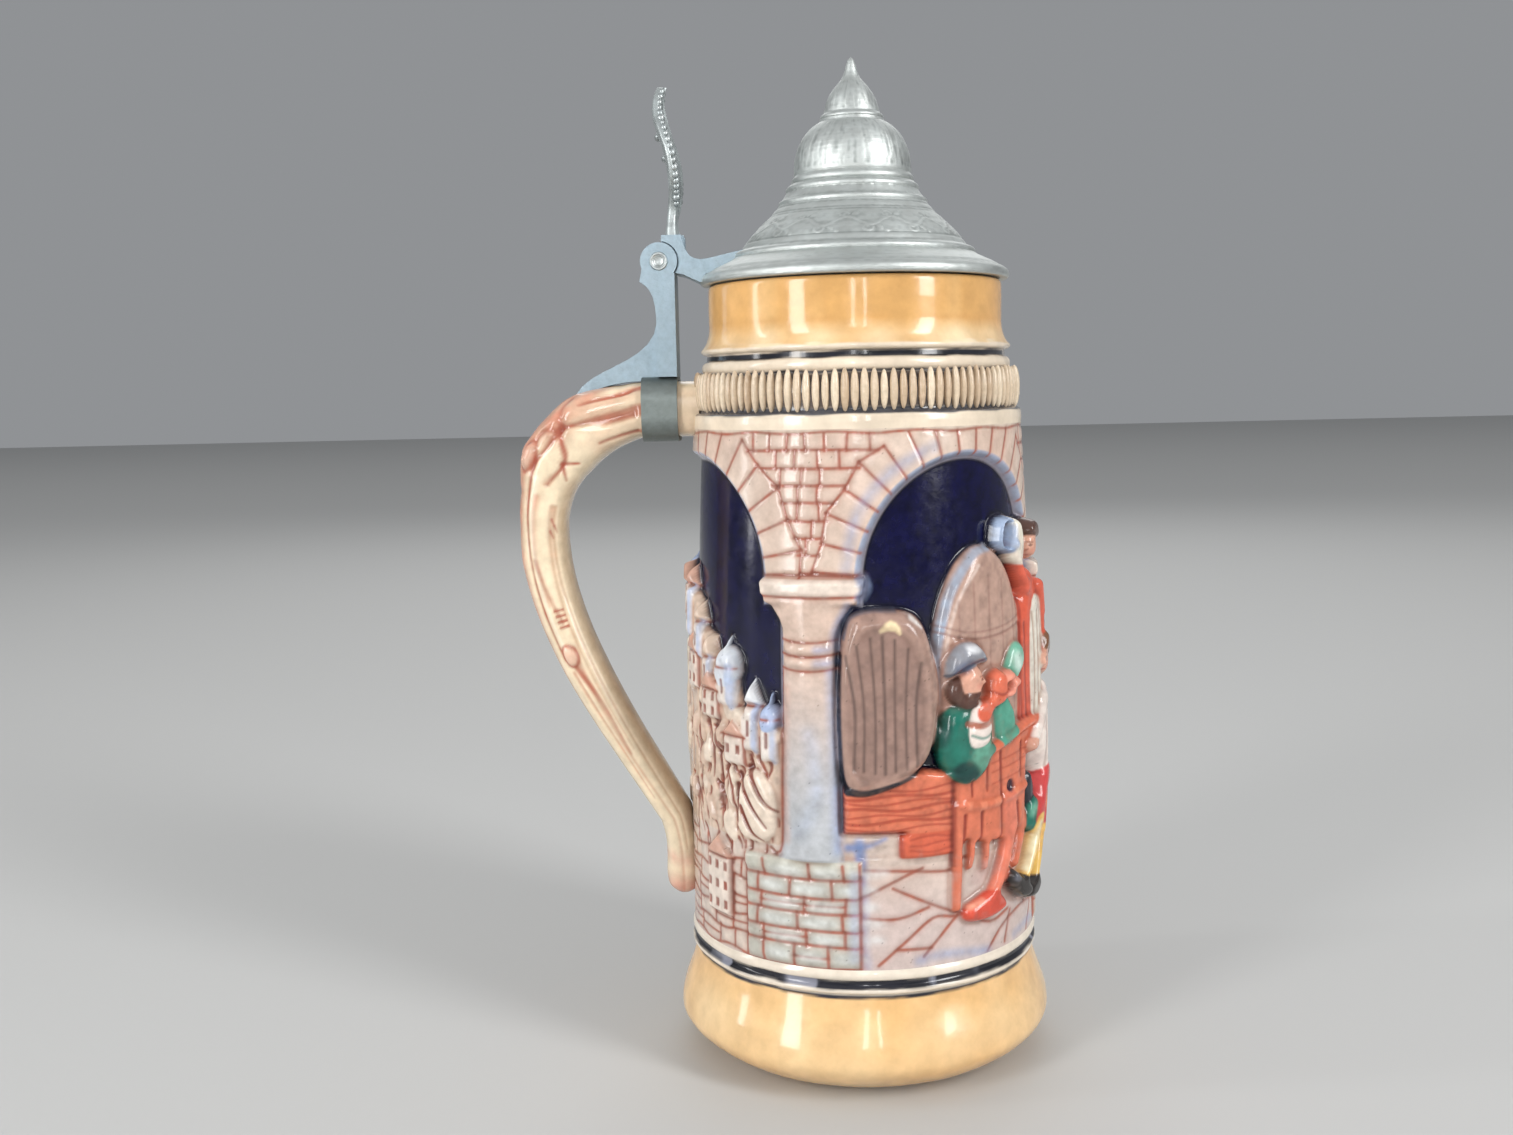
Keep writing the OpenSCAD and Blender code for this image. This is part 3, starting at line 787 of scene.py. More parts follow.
    def _table(self, p: Panel) -> None:
        """Draw the table with its cloth, its legs and the drinker's own legs below it.

        Args:
            p: The panel to draw on.
        """
        d = self.dress
        p.form(
            Blob(
                (
                    (-7.4, 72), (-6.4, 84), (2.6, 84.6), (17.4, 88.4), (30.5, 87.6), (31, 82.6), (18, 81.8),
                    (17, 68), (13.6, 60), (-1, 61), (-7.2, 64)
                ),
                1
            ),
            2.6, 2.4, d.wood
        )
        p.form(Stroke(((2.4, 83.8), (10, 86.2), (18, 87.6), (30.4, 86.6)), 2.6), 3.7, 1.2, "#e2704a")
        p.form(Stroke(((-6.4, 71.6), (0, 70.6), (8, 71.2), (15.4, 72.4)), 2.0), 3.2, 1.0, "#ea8560")
        for x0, x1, low, w in ((-6.4, -6.9, 46.6, 3.2), (-2.6, -3.4, 56, 2.4), (1.6, 1.2, 55, 2.4)):
            p.form(Stroke(((x0, 71), ((x0 + x1) / 2 + 0.3, 60), (x1, low)), w, w * 0.72), 2.3, 1.3, d.wood)
        p.form(Stroke(((8.2, 70), (9.0, 60), (5.4, 51), (2.6, 47.2)), 5.4, 3.6), 2.7, 2.0, "#e5785a")
        p.form(Stroke(((13.6, 71), (15.0, 62), (12.0, 53.6)), 5.0, 3.2), 2.4, 2.0, d.wood)
        p.form(
            Blob(
                (
                    (-5.4, 43.2), (-5.6, 46.2), (-2, 47.8), (2.4, 49.6), (6.2, 48.2), (9, 44), (4, 42.2),
                    (-2, 41.8)
                ),
                2
            ),
            3.0, 2.2, "#d5492f"
        )
        p.brush(Stroke(((-4.4, 46.3), (-0.4, 47.4)), 1.0), "#f0a083", 0.7, 0.5)
        for line in (
            ((-5.2, 69), (-5.6, 58)), ((-0.6, 69), (-0.9, 60)), ((1.2, 82), (0.9, 74)),
            ((5.4, 82.6), (5.6, 60)), ((11.8, 69), (12.4, 60), (10.8, 55)), ((-3.6, 81.6), (-3.4, 73.4)),
            ((13.6, 83.4), (13.2, 75))
        ):
            p.carve(Stroke(line, 0.9, 0.5), 0.5, "#a63f2c", 0.85)
        for z in (75.6, 78.4, 80.6):
            p.carve(Stroke(((2.4, z - 0.3), (8, z + 0.3), (16.4, z + 1.2)), 0.45), 0.18, "#b64c33", 0.6)
        p.carve(Oval(9.0, 73.6, 1.25, 1.5), 0.9, "#3a2a4a", 0.95)
        p.brush(Stroke(((-7.5, 83), (-7.8, 72), (-7.9, 57)), 1.0), "#96382a", 0.8, 0.4)
        p.brush(Blob(((-2, 50), (4.6, 52), (6, 58), (0.6, 57), (-3, 53)), 2), "#c9a7a0", 0.5, 0.8)

    def _drinker(self, p: Panel) -> None:
        """Draw the seated drinker who lifts a cup.

        Args:
            p: The panel to draw on.
        """
        d = self.dress
        p.form(Blob(((4.4, 83.4), (3.4, 95), (7.2, 97.4), (12.4, 90), (10.2, 84.4)), 1), 2.9, 2.0, d.sleeve)
        # the lifted upper arm in the lit waistcoat colour: painted light
        p.form(
            Blob(
                (
                    (5.6, 99.2), (8.0, 104.6), (11.2, 108.4), (15.2, 107.4), (16.0, 102.6), (12.4, 98.8),
                    (8.6, 96.8)
                ),
                2
            ),
            3.3, 2.4, d.waistcoat_lit
        )
        # white patch on the lifted arm: painted highlight
        p.brush(Oval(11.6, 103.4, 2.0, 2.6, 30), "#d8e9df", 0.6, 1.2)
        p.form(
            Blob(
                (
                    (-9.8, 94.6), (-5, 97.0), (1.4, 96), (2.9, 90), (2.6, 82), (-1.2, 77.6), (-5.8, 76.2),
                    (-9.6, 79), (-11.6, 84.6), (-11.8, 90)
                ),
                2
            ),
            4.2, 4.4, d.waistcoat
        )
        # lighter patch on the waistcoat's right: painted highlight
        p.brush(
            Blob(((-4.0, 79.4), (1.8, 80), (2.2, 85.6), (-1, 87.6), (-4.6, 85)), 2), d.waistcoat_lit, 0.75,
            1.0
        )
        # darker patches on the waistcoat's left and lower edge: painted shade
        p.brush(
            Blob(((-9.0, 79), (-5.4, 76.6), (-2, 78), (-2.8, 81.6), (-7.6, 82.8)), 2), d.waistcoat_shaded, 0.9,
            0.7
        )
        p.brush(Blob(((-11, 84), (-8.6, 90), (-9.2, 94.6), (-11.6, 91)), 2), d.waistcoat_shaded, 0.6, 0.8)
        p.form(
            Blob(((-5.4, 85.4), (-5.2, 94), (-2, 96.6), (1.2, 94.8), (1.4, 87), (-1.6, 85.2)), 2), 4.9, 2.4,
            d.shirt
        )
        p.carve(Stroke(((-5.4, 91.2), (-2, 90.4), (1.2, 91.4)), 1.5), 0.35, "#b4705a", 0.85)
        p.carve(Stroke(((-4.6, 88.4), (-1.8, 87.4), (1, 88.2)), 0.7), 0.3, "#5f8f82", 0.7)
        p.form(Oval(-5.8, 98.8, 3.9, 3.8), 4.2, 2.6, d.hair)
        p.form(Oval(-3.4, 100.8, 3.4, 4.2), 4.7, 3.0, d.skin)
        p.form(
            Blob(((-7.4, 95.2), (-6.6, 98.8), (-3.4, 98.4), (-1.4, 98.8), (-2.2, 95.6), (-4.8, 94.4)), 2),
            4.9, 1.6, d.hair
        )
        p.form(
            Blob(
                (
                    (-9.8, 101.6), (-9.6, 106.4), (-6.6, 110.2), (-1.6, 110.0), (1.2, 106.4), (1.4, 104.4),
                    (-3, 104.6), (-7.4, 102.6)
                ),
                2
            ),
            5.1, 3.0, d.hat
        )
        p.carve(Stroke(((-9.4, 102.6), (-5.4, 104.6), (-0.4, 106), (2.0, 105.2)), 0.8), 0.3, "#4d5160", 0.8)
        p.brush(Oval(-6.0, 104.6, 2.6, 1.6, 20), "#47577c", 0.65, 0.8)
        p.brush(Oval(-3.6, 108.6, 2.0, 1.0, -8), "#dcdde0", 0.7, 0.6)
        self._features(p, -1.6, 101.2, 1)
        p.form(Stroke(((-1.2, 93.4), (1.6, 95.6), (3.8, 98.2)), 4.4, 3.6), 5.0, 2.0, "#e0603d")
        p.form(
            Blob(((0.2, 95), (0.4, 101.4), (4, 103.4), (6.4, 101.2), (6.2, 95), (3.2, 93.6)), 2), 5.4, 2.2,
            "#e06a48"
        )
        for x, z in ((6.9, 97.0), (8.6, 99.0), (6.6, 100.8)):
            p.form(Oval(x, z, 1.9, 1.5, 20), 5.6, 1.3, "#f0937a")
        p.carve(Stroke(((1.0, 98), (3.6, 97.0), (6.0, 97.8)), 0.6), 0.3, "#a63f2c", 0.8)

    def _sitter(self, p: Panel) -> None:
        """Draw the man who sits on the near end of the bench, legs stretched out.

        Args:
            p: The panel to draw on.
        """
        d = self.dress
        p.form(Blob(((16.6, 62), (16.2, 74), (19.4, 76.4), (22.4, 70), (21, 62)), 1), 2.6, 1.8, "#33343b")
        p.form(Blob(((15.8, 60), (16.6, 67), (21.4, 69), (24, 63), (20, 58.8)), 2), 3.4, 2.2, d.waistcoat)
        # lit patch on the sitter's waistcoat: painted highlight
        p.brush(Oval(19.2, 65.2, 2.2, 1.6, 20), d.waistcoat_lit, 0.7, 1.0)
        p.form(
            Blob(
                (
                    (25.0, 73.2), (24.2, 84), (26.0, 94.2), (30, 97.4), (33.6, 92), (34.4, 80), (32.6, 70.6),
                    (27.6, 70)
                ),
                2
            ),
            4.3, 4.0, d.shirt
        )
        for x in (27.6, 30.2, 32.2):
            p.carve(Stroke(((x - 0.4, 92), (x + 0.6, 82), (x, 74)), 0.8), 0.35, "#bfa79c", 0.7)
        p.form(Stroke(((26.6, 91.4), (22.4, 86.2), (18.4, 82.6)), 4.6, 3.4), 4.8, 2.2, d.shirt)
        p.form(Oval(17.2, 81.9, 2.0, 1.8), 5.0, 1.5, d.skin)
        p.form(Oval(29.0, 101.4, 3.3, 4.2), 4.6, 2.9, d.skin)
        p.form(
            Blob(
                (
                    (26.6, 103.4), (26.8, 107.0), (30, 108.4), (33.2, 105.8), (33.4, 99.6), (31.4, 97.2),
                    (31.2, 102.2), (28.6, 104.0)
                ),
                2
            ),
            5.0, 1.6, "#7a5236"
        )
        self._features(p, 27.2, 101.0, -1)
        p.form(Stroke(((31.0, 71.4), (25.4, 68.8), (21.8, 62.0)), 7.0, 5.4), 4.6, 2.8, d.breeches)
        p.form(Stroke(((32.4, 68.6), (28.8, 63.6), (26.2, 58.2)), 6.4, 5.0), 4.0, 2.6, d.breeches)
        p.form(Stroke(((21.6, 61.4), (17.6, 55.0), (13.8, 49.8)), 4.8, 3.4), 4.4, 2.0, d.stocking)
        p.form(Stroke(((26.0, 57.4), (23.4, 51.8), (21.4, 47.6)), 4.6, 3.2), 3.6, 1.9, d.stocking)
        p.brush(Stroke(((20.6, 61.6), (17.0, 56.0), (14.0, 51.6)), 1.3), "#f6e9c4", 0.8, 0.6)
        p.form(
            Blob(
                (
                    (7.6, 52.6), (7.0, 49.4), (10.4, 45.6), (14.6, 43.6), (17.6, 46.4), (14.6, 49.6),
                    (11.4, 51.6), (9.4, 53.6)
                ),
                2
            ),
            4.6, 1.8, "#2b2624"
        )
        p.form(
            Blob(((15.6, 46.6), (15.8, 43.2), (20.6, 42.0), (24.4, 44.6), (23.6, 48.0), (19.8, 48.2)), 2),
            3.8, 1.8, "#2b2624"
        )
        p.brush(Oval(9.4, 51.2, 1.2, 0.9, 30), "#6a6d78", 0.7, 0.5)
        p.form(Blob(((28.6, 52), (27.4, 66.4), (34.4, 67.4), (34.8, 51)), 0), 2.8, 1.4, d.wood)
        p.carve(Stroke(((31.2, 65.6), (31.0, 53)), 0.7), 0.35, d.wood_dark, 0.8)

    def _features(self, p: Panel, x: float, z: float, way: int) -> None:
        """Give a face a plain calm look: a brow, an eye, a nose and a mouth.

        Args:
            p: The panel.
            x: Middle of the face.
            z: Height of the eyes.
            way: 1 if it looks to the right, -1 to the left.
        """
        p.form(
            Blob(((x + way * 0.9, z + 0.6), (x + way * 2.0, z - 1.1), (x + way * 0.6, z - 1.3)), 1),
            5.3 if way > 0 else 5.0, 0.6, self.dress.skin, 0.05
        )
        p.carve(Oval(x + way * 0.1, z + 0.1, 0.55, 0.32), 0.14, "#4a3026", 0.8, 0.3)
        p.brush(Stroke(((x - way * 0.7, z + 0.8), (x + way * 0.9, z + 0.9)), 0.35), "#6a4636", 0.7, 0.25)
        p.carve(Stroke(((x - way * 0.2, z - 2.3), (x + way * 1.0, z - 2.2)), 0.4), 0.12, "#b0564a", 0.8, 0.3)
        p.brush(Oval(x - way * 0.9, z - 1.3, 0.8, 0.7), "#db8672", 0.45, 0.6)


@dataclass
class Town:
    """The view behind the handle: a walled town on a hill under a dark sky."""

    stone: str = "#dcc2ac"
    line: str = "#a55a44"
    roof: str = "#d3a48e"
    blue: str = "#a9badb"

    def draw(self, p: Panel) -> None:
        """Draw the town on a panel whose x is 0 behind the handle.

        Args:
            p: The panel to draw on.
        """
        self._hill(p)
        for side in (-1, 1):
            self._side(p, side)
        self._keep(p)

    def _hill(self, p: Panel) -> None:
        """Draw the rocky hill and the rubble wall below it.

        Args:
            p: The panel to draw on.
        """
        ridge = (
            (-47, 60), (-47, 90), (-41, 92), (-35, 90), (-33, 101), (-26, 103), (-23, 111), (-18, 112),
            (-15, 118), (-8, 120), (0, 123), (8, 121), (15, 118), (18, 113), (20, 111), (24, 110), (26, 103),
            (33, 101), (35, 91), (40, 92), (47, 90), (47, 60)
        )
        p.form(Blob(ridge, 0), 0.1, 2.2, self.stone)
        p.form(box_blob(-48, 33.2, 48, 62), 0.0, 0.8, "#dccbbd")
        rng = np.random.default_rng(5)
        for _ in range(240):
            x, z = rng.uniform(-45, 45), rng.uniform(61, 108)
            if z > 122 - 0.62 * abs(x) - 4:
                continue
            lean, long = rng.uniform(-0.9, 0.9) + (0.5 if x > 0 else -0.5), rng.uniform(2.5, 8)
            points = (
                (x, z), (x + lean * long * 0.4, z - long * 0.55),
                (x + lean * long * 0.5 + rng.uniform(-1.2, 1.2), z - long)
            )
            crack, depth = Stroke(points, rng.uniform(0.6, 1.6), 0.4), rng.uniform(0.25, 0.6)
            p.carve(crack, depth, "#97503d" if rng.random() < 0.5 else self.line, 0.85)
        for _ in range(60):
            x, z = rng.uniform(-45, 45), rng.uniform(62, 104)
            if z > 122 - 0.62 * abs(x) - 6:
                continue
            a, b = rng.uniform(1.2, 2.8), rng.uniform(1.6, 4.2)
            rock, level = Oval(x, z, a, b, rng.uniform(-30, 30)), rng.uniform(0.5, 1.2)
            p.form(rock, level, 1.4, "#ead7c3" if rng.random() < 0.6 else "#d9bda8")
        self._rubble(p, rng)

    def _rubble(self, p: Panel, rng: np.random.Generator) -> None:
        """Draw uneven stones below the town, row by row.

        Args:
            p: The panel to draw on.
            rng: The random numbers.
        """
        z = 33.6
        while z < 60:
            tall = rng.uniform(4.0, 5.6)
            x = -47.0 + rng.uniform(0, 5)
            p.joint(
                *((a, z + 0.5 * math.sin(0.4 * a + z)) for a in range(-48, 49, 4)), width=0.7, tint=self.line
            )
            while x < 47:
                wide = rng.uniform(5, 10)
                p.joint((x, z + 0.3), (x + rng.uniform(-0.5, 0.5), z + tall), width=0.65, tint=self.line)
                if rng.random() < 0.35:
                    p.joint(
                        (x, z + tall * 0.5), (x + wide, z + tall * 0.5 + rng.uniform(-0.4, 0.4)), width=0.55,
                        tint=self.line
                    )
                x += wide
            z += tall

    def _house(
        self, p: Panel, x: float, z: float, w: float, h: float, gable: float, rows: int, side: int
    ) -> None:
        """Draw a house with a gable roof and rows of windows.

        Args:
            p: The panel to draw on.
            x: Where its wall starts.
            z: Level of its foot.
            w: Width.
            h: Height of the wall.
            gable: Height of the roof.
            rows: Rows of windows.
            side: 1 if it reaches to the right of x, -1 to the left.
        """
        x0, x1 = sorted((x, x + side * w))
        p.form(box_blob(x0, z, x1, z + h), 1.3, 0.7, "#e6d6c8")
        p.form(
            Blob(((x0 - 0.8, z + h), (x1 + 0.8, z + h), ((x0 + x1) / 2, z + h + gable)), 0), 1.7, 0.9,
            self.roof
        )
        p.joint((x0 - 0.8, z + h), (x1 + 0.8, z + h), width=0.55, tint=self.line)
        for edge in (x0, x1):
            p.joint((edge, z), (edge, z + h), width=0.55, tint=self.line)
        cols = max(2, int(w / 2.6))
        for row in range(rows):
            for col in range(cols):
                cx, cz = x0 + (col + 0.5) * w / cols, z + (row + 0.55) * h / rows
                p.carve(box_blob(cx - 0.65, cz - 1.1, cx + 0.65, cz + 1.1), 0.35, "#9c5443", 0.85, 0.35)

    def _tower(self, p: Panel, x: float, z: float, w: float, h: float, cap: str, domed: bool) -> None:
        """Draw a round tower with a pointed roof or a dome.

        Args:
            p: The panel to draw on.
            x: Its middle.
            z: Level of its foot.
            w: Width.
            h: Height of the wall.
            cap: Colour of its roof.
            domed: True for a dome.
        """
        p.form(box_blob(x - w / 2, z, x + w / 2, z + h), 1.6, w / 2, "#e9ddd3")
        top = z + h
        if domed:
            p.form(Oval(x, top, w * 0.62, w * 0.7), 1.9, w / 2, cap)
            p.form(Stroke(((x, top + w * 0.6), (x, top + w * 0.6 + 2.6)), 1.1, 0.5), 1.0, 0.5, cap)
        else:
            p.form(Blob(((x - w * 0.62, top), (x + w * 0.62, top), (x, top + w * 1.25)), 0), 1.8, w / 2, cap)
        p.joint((x - w / 2, top - 0.3), (x + w / 2, top - 0.3), width=0.6, tint=self.line)
        p.carve(Stroke(((x - 0.1, z + h * 0.35), (x - 0.1, z + h * 0.65)), 0.9), 0.3, "#8d5a54", 0.8)
        p.brush(Stroke(((x + w * 0.3, z), (x + w * 0.3, top)), w * 0.28), self.blue, 0.7, 0.5)

    def _side(self, p: Panel, s: int) -> None:
        """Draw the houses, towers and rocks on one side of the handle.

        Args:
            p: The panel to draw on.
            s: 1 for the right, -1 for the left.
        """
        for x, z, w, h, cap, domed in (
            (30, 94, 7.0, 9.5, "#dfe5ee", True),
            (38.2, 84, 5.0, 11.0, "#e9edf2", False),
            (43.4, 82, 4.6, 10.5, self.blue, True),
            (17.0, 104, 4.2, 9.0, self.stone, False),
            (22.4, 98, 4.4, 7.0, self.stone, False),
        ):
            self._tower(p, s * x, z, w, h, cap, domed)
        for x, z, w, h, gable, rows in (
            (20, 90, 7.5, 7, 4.5, 2), (10, 96, 7.0, 9, 5, 2), (29.5, 80, 7.0, 7, 4, 1),
            (21.6, 41.5, 9.6, 14.5, 5.2, 3)
        ):
            self._house(p, s * x, z, w, h, gable, rows, s)
        p.form(
            Blob(((s * 34, 62), (s * 33, 70), (s * 36, 79), (s * 41, 80), (s * 45.5, 74), (s * 45, 62)), 2),
            1.6, 3.0, "#ead7c3"
        )
        for line in (
            ((34.6, 78), (38.5, 71), (42.8, 66)),
            ((37.6, 80), (41.6, 73), (45.4, 70)),
            ((35.4, 70), (38.6, 64.6), (41.6, 62.6)),
            ((33.8, 75), (34.4, 66)),
            ((27.6, 84), (31.6, 76), (33.4, 66)),
            ((25.4, 88), (27.6, 78), (28.2, 68)),
            ((16.2, 92), (17.8, 82), (16.4, 70)),
        ):
            p.carve(Stroke(tuple((s * x, z) for x, z in line), 1.5, 0.5), 0.6, "#8f4836", 0.95)
        p.brush(Stroke(((s * 47, 60), (s * 46.8, 80)), 1.2), self.line, 0.7, 0.5)

    def _keep(self, p: Panel) -> None:
        """Draw the keep on the hilltop and the road that climbs to it.

        Args:
            p: The panel to draw on.
        """
        self._house(p, -6, 112, 12, 9, 5.5, 2, 1)
        self._tower(p, -8.6, 108, 4.6, 15, self.blue, True)
        self._tower(p, 9.0, 108, 4.4, 13, self.roof, False)
        p.form(Stroke(((-14, 64), (-4, 74), (6, 82), (-1, 92), (3, 106)), 4.2, 2.0), 0.9, 1.4, "#ecdcc8")
        for k in range(7):
            z = 66 + 6 * k
            p.form(Oval(-20 + 3 * (k % 3), z, 2.2, 2.8), 1.2, 1.6, "#cdb9a0" if k % 2 else "#dcc4ad")


@dataclass
class Masonry:
    """The arcade itself: columns, capitals, arches and their stones."""

    stone: str = "#dcc0ae"
    pale: str = "#e6d5c6"
    line: str = BRICK
    wash: str = "#8fa3cb"
    spring: float = SPRING
    arch: float = 29.6
    top: float = 159.0

    def arch_stones(self, p: Panel, x: float, z: float, start: float, stop: float, count: int) -> None:
        """Draw the radial joints of an arch and the ring at their outer ends.

        Args:
            p: The panel.
            x: Middle of the arch.
            z: Height of its centre.
            start: First angle in degrees, 0 to the right.
            stop: Last angle.
            count: Number of stones.
        """
        inner, outer = self.arch, self.arch + 9.4
        ring: list[Point] = []
        for i in range(count + 1):
            angle = math.radians(start + (stop - start) * i / count)
            c, s = math.cos(angle), math.sin(angle)
            reach = min(outer + (0.9 if i % 2 else -0.4), (self.top - z) / max(s, 0.05))
            if reach > inner + 0.5:
                p.joint(
                    (x + (inner - 0.4) * c, z + (inner - 0.4) * s), (x + reach * c, z + reach * s),
                    width=0.7, tint=self.line
                )
            ring.append((x + reach * c, z + reach * s))
        for a, b in zip(ring, ring[1:]):
            if max(a[1], b[1]) < self.top - 0.4:
                p.joint(a, b, width=0.65, tint=self.line)

    def spandrel(self, p: Panel, left: float, right: float) -> None:
        """Draw the courses of brick between two arches, above a capital.

        Args:
            p: A panel whose x is 0 at the column.
            left: Distance from the column to the centre of the arch on its left.
            right: The same on its right.
        """
        course = 4.0
        rng = np.random.default_rng(11)
        z, k = self.spring + 2.6, 0
        while z < self.top - 1.5:
            a, b = -max(self._extrados(left, z), 1.0), max(self._extrados(right, z), 1.0)
            p.joint((a, z), ((a + b) / 2, z + rng.uniform(-0.3, 0.3)), (b, z), width=0.7, tint=self.line)
            x = a + (2.0 if k % 2 else 4.2)
            while x < b - 1:
                p.joint(
                    (x, z), (x + rng.uniform(-0.3, 0.3), min(z + course, self.top)), width=0.65,
                    tint=self.line
                )
                x += rng.uniform(4.4, 6.2)
            z += course
            k += 1

    def _extrados(self, dist: float, level: float) -> float:
        """Give how far the back of an arch is from a column.

        Args:
            dist: Distance from the column to the arch's centre.
            level: Height at which it is measured.

        Returns:
            The distance from the column to the arch's stones, or to its centre above its crown.
        """
        outer, rise = self.arch + 9.2, level - self.spring
        return dist - math.sqrt(max(0.0, outer**2 - rise**2)) if rise < outer else dist

    def column(self, p: Panel, block_left: float, block_right: float, seed: int) -> None:
        """Draw a column on a panel whose x is 0 at its middle.

        Args:
            p: The panel.
            block_left: How far its foot block reaches to the left.
            block_right: How far it reaches to the right.
            seed: Seed of the block's stones.
        """
        self._block(p, block_left, block_right, seed)
        x, z = p.x[None, :], p.z[:, None]
        half = np.interp(p.z, [59, 60.5, 63, 66, 85, 105], [8.2, 8.0, 7.2, 6.95, 6.75, 6.2])[:, None]
        half = half + np.interp(p.z, [111, 113, 116, 119, 121], [0, 0.3, 1.5, 3.7, 5.2])[:, None]
        inside = (np.abs(x) < half) & (z > 59.2) & (z < 121.5)
        swell = np.sqrt(np.clip(1 - (x / half) ** 2, 0, 1))
        level = -1.7 + 3.9 * swell
        rings = sum(np.sqrt(np.clip(1 - ((z - c) / 1.25) ** 2, 0, 1)) for c in (106.4, 109.6))
        level = level + 0.75 * rings * np.clip(swell * 2, 0, 1)
        p.height[:] = np.where(inside, np.maximum(p.height, level), p.height)
        share = (inside * np.clip(swell * 3, 0, 1))[..., None]
        mottle = p.mottle[..., None]
        stone = linear(self.stone) * (1 + 0.14 * mottle)
        pale = linear("#bfc2c6") * (1 + 0.1 * mottle)
        mix = ease((z - 66) / 46)[..., None]
        p.paint[:] = mixed(p.paint, mixed(pale, stone, mix), share)
        p.form(Blob(((-10.6, 119.6), (11.4, 119.6), (12.0, 122.2), (-11.2, 122.2)), 0), 2.0, 0.8, self.stone)
        p.form(
            Blob(((-11.4, 121.6), (12.6, 121.6), (13.2, 125.6), (-12.0, 125.6)), 0), 2.45, 0.75, self.pale
        )
        p.joint((-11.0, 121.7), (0, 121.5), (12.2, 121.8), width=0.7, tint=self.line)
        p.joint((-12.2, 126.3), (0, 126.5), (13.0, 126.2), width=0.65, tint=self.line)
        for level_z in (104.6, 108.0, 111.3):
            p.joint(
                (-6.6, level_z + 0.25), (0, level_z - 0.15), (6.6, level_z + 0.25), width=0.6, depth=0.15,
                tint=self.line
            )
        p.joint((-8.6, 60.0), (-7.2, 62.2), (-6.9, 75), (-6.4, 104), width=0.6, depth=0.1, tint=self.line)
        p.brush(Stroke(((6.4, 62), (6.0, 85), (5.4, 104)), 2.0, 1.6), self.wash, 0.6, 1.4)
        p.brush(Stroke(((-2, 66), (2.2, 76), (0.6, 90)), 3.0), "#a9b8d2", 0.35, 2.0)
        p.brush(Stroke(((12.6, 121.6), (13.6, 123.4), (12.8, 125.4)), 2.6), self.wash, 0.85, 0.9)
        p.brush(Stroke(((9.4, 119.6), (6.6, 114), (6.2, 111.8)), 1.8), self.wash, 0.55, 1.0)
        for level_z in (106.4, 109.6):
            p.brush(Stroke(((2.6, level_z), (6.4, level_z + 0.2)), 1.6), "#8298c6", 0.5, 1.0)
        p.brush(Stroke(((-5.4, 64), (-5.6, 80), (-5.0, 100)), 1.8), "#c89581", 0.45, 1.2)

    def _block(self, p: Panel, left: float, right: float, seed: int) -> None:
        """Draw the block of bricks under a column.

        Args:
            p: The panel to draw on.
            left: How far the block reaches to the left.
            right: How far it reaches to the right.
            seed: Seed of its bricks.
        """
        rng = np.random.default_rng(seed)
        p.form(box_blob(-left, 33.0, right, 59.0), 0.75, 0.8, "#c3c2b6")
        p.form(box_blob(-left - 0.6, 56.0, right + 0.6, 59.4), 1.15, 0.8, "#cac8ba")
        levels = (33.0, 38.4, 42.2, 46.4, 50.2, 54.6, 58.4)
        for low, high in zip(levels, levels[1:]):
            bed = (
                (x, low + rng.uniform(-reach, reach))
                for x, reach in ((-left, 0.2), (0, 0.35), (right, 0.2))
            )
            p.joint(*bed, width=0.75, tint=self.line)
            x = -left + rng.uniform(3.0, 6.5)
            while x < right - 2.2:
                wide = rng.uniform(7.5, 12.5)
                p.joint((x, low), (x + rng.uniform(-0.4, 0.4), high), width=0.75, tint=self.line)
                if rng.random() < 0.15 and x + wide < right:
                    mid = (low + high) / 2
                    p.joint((x, mid), (x + wide, mid + rng.uniform(-0.3, 0.3)), width=0.6, tint=self.line)
                p.brush(Oval(x + wide / 2, (low + high) / 2, wide * 0.36, 1.3), "#dfe2e0", 0.5, 1.2)
                x += wide
        for edge in (-left, right):
            p.joint((edge, 33.2), (edge, 58.8), width=0.8, tint=self.line)
        p.brush(Stroke(((right - 1.4, 36), (right - 1.2, 56)), 2.0), self.wash, 0.4, 1.4)


# ------------------------------------------------------------------ the mug


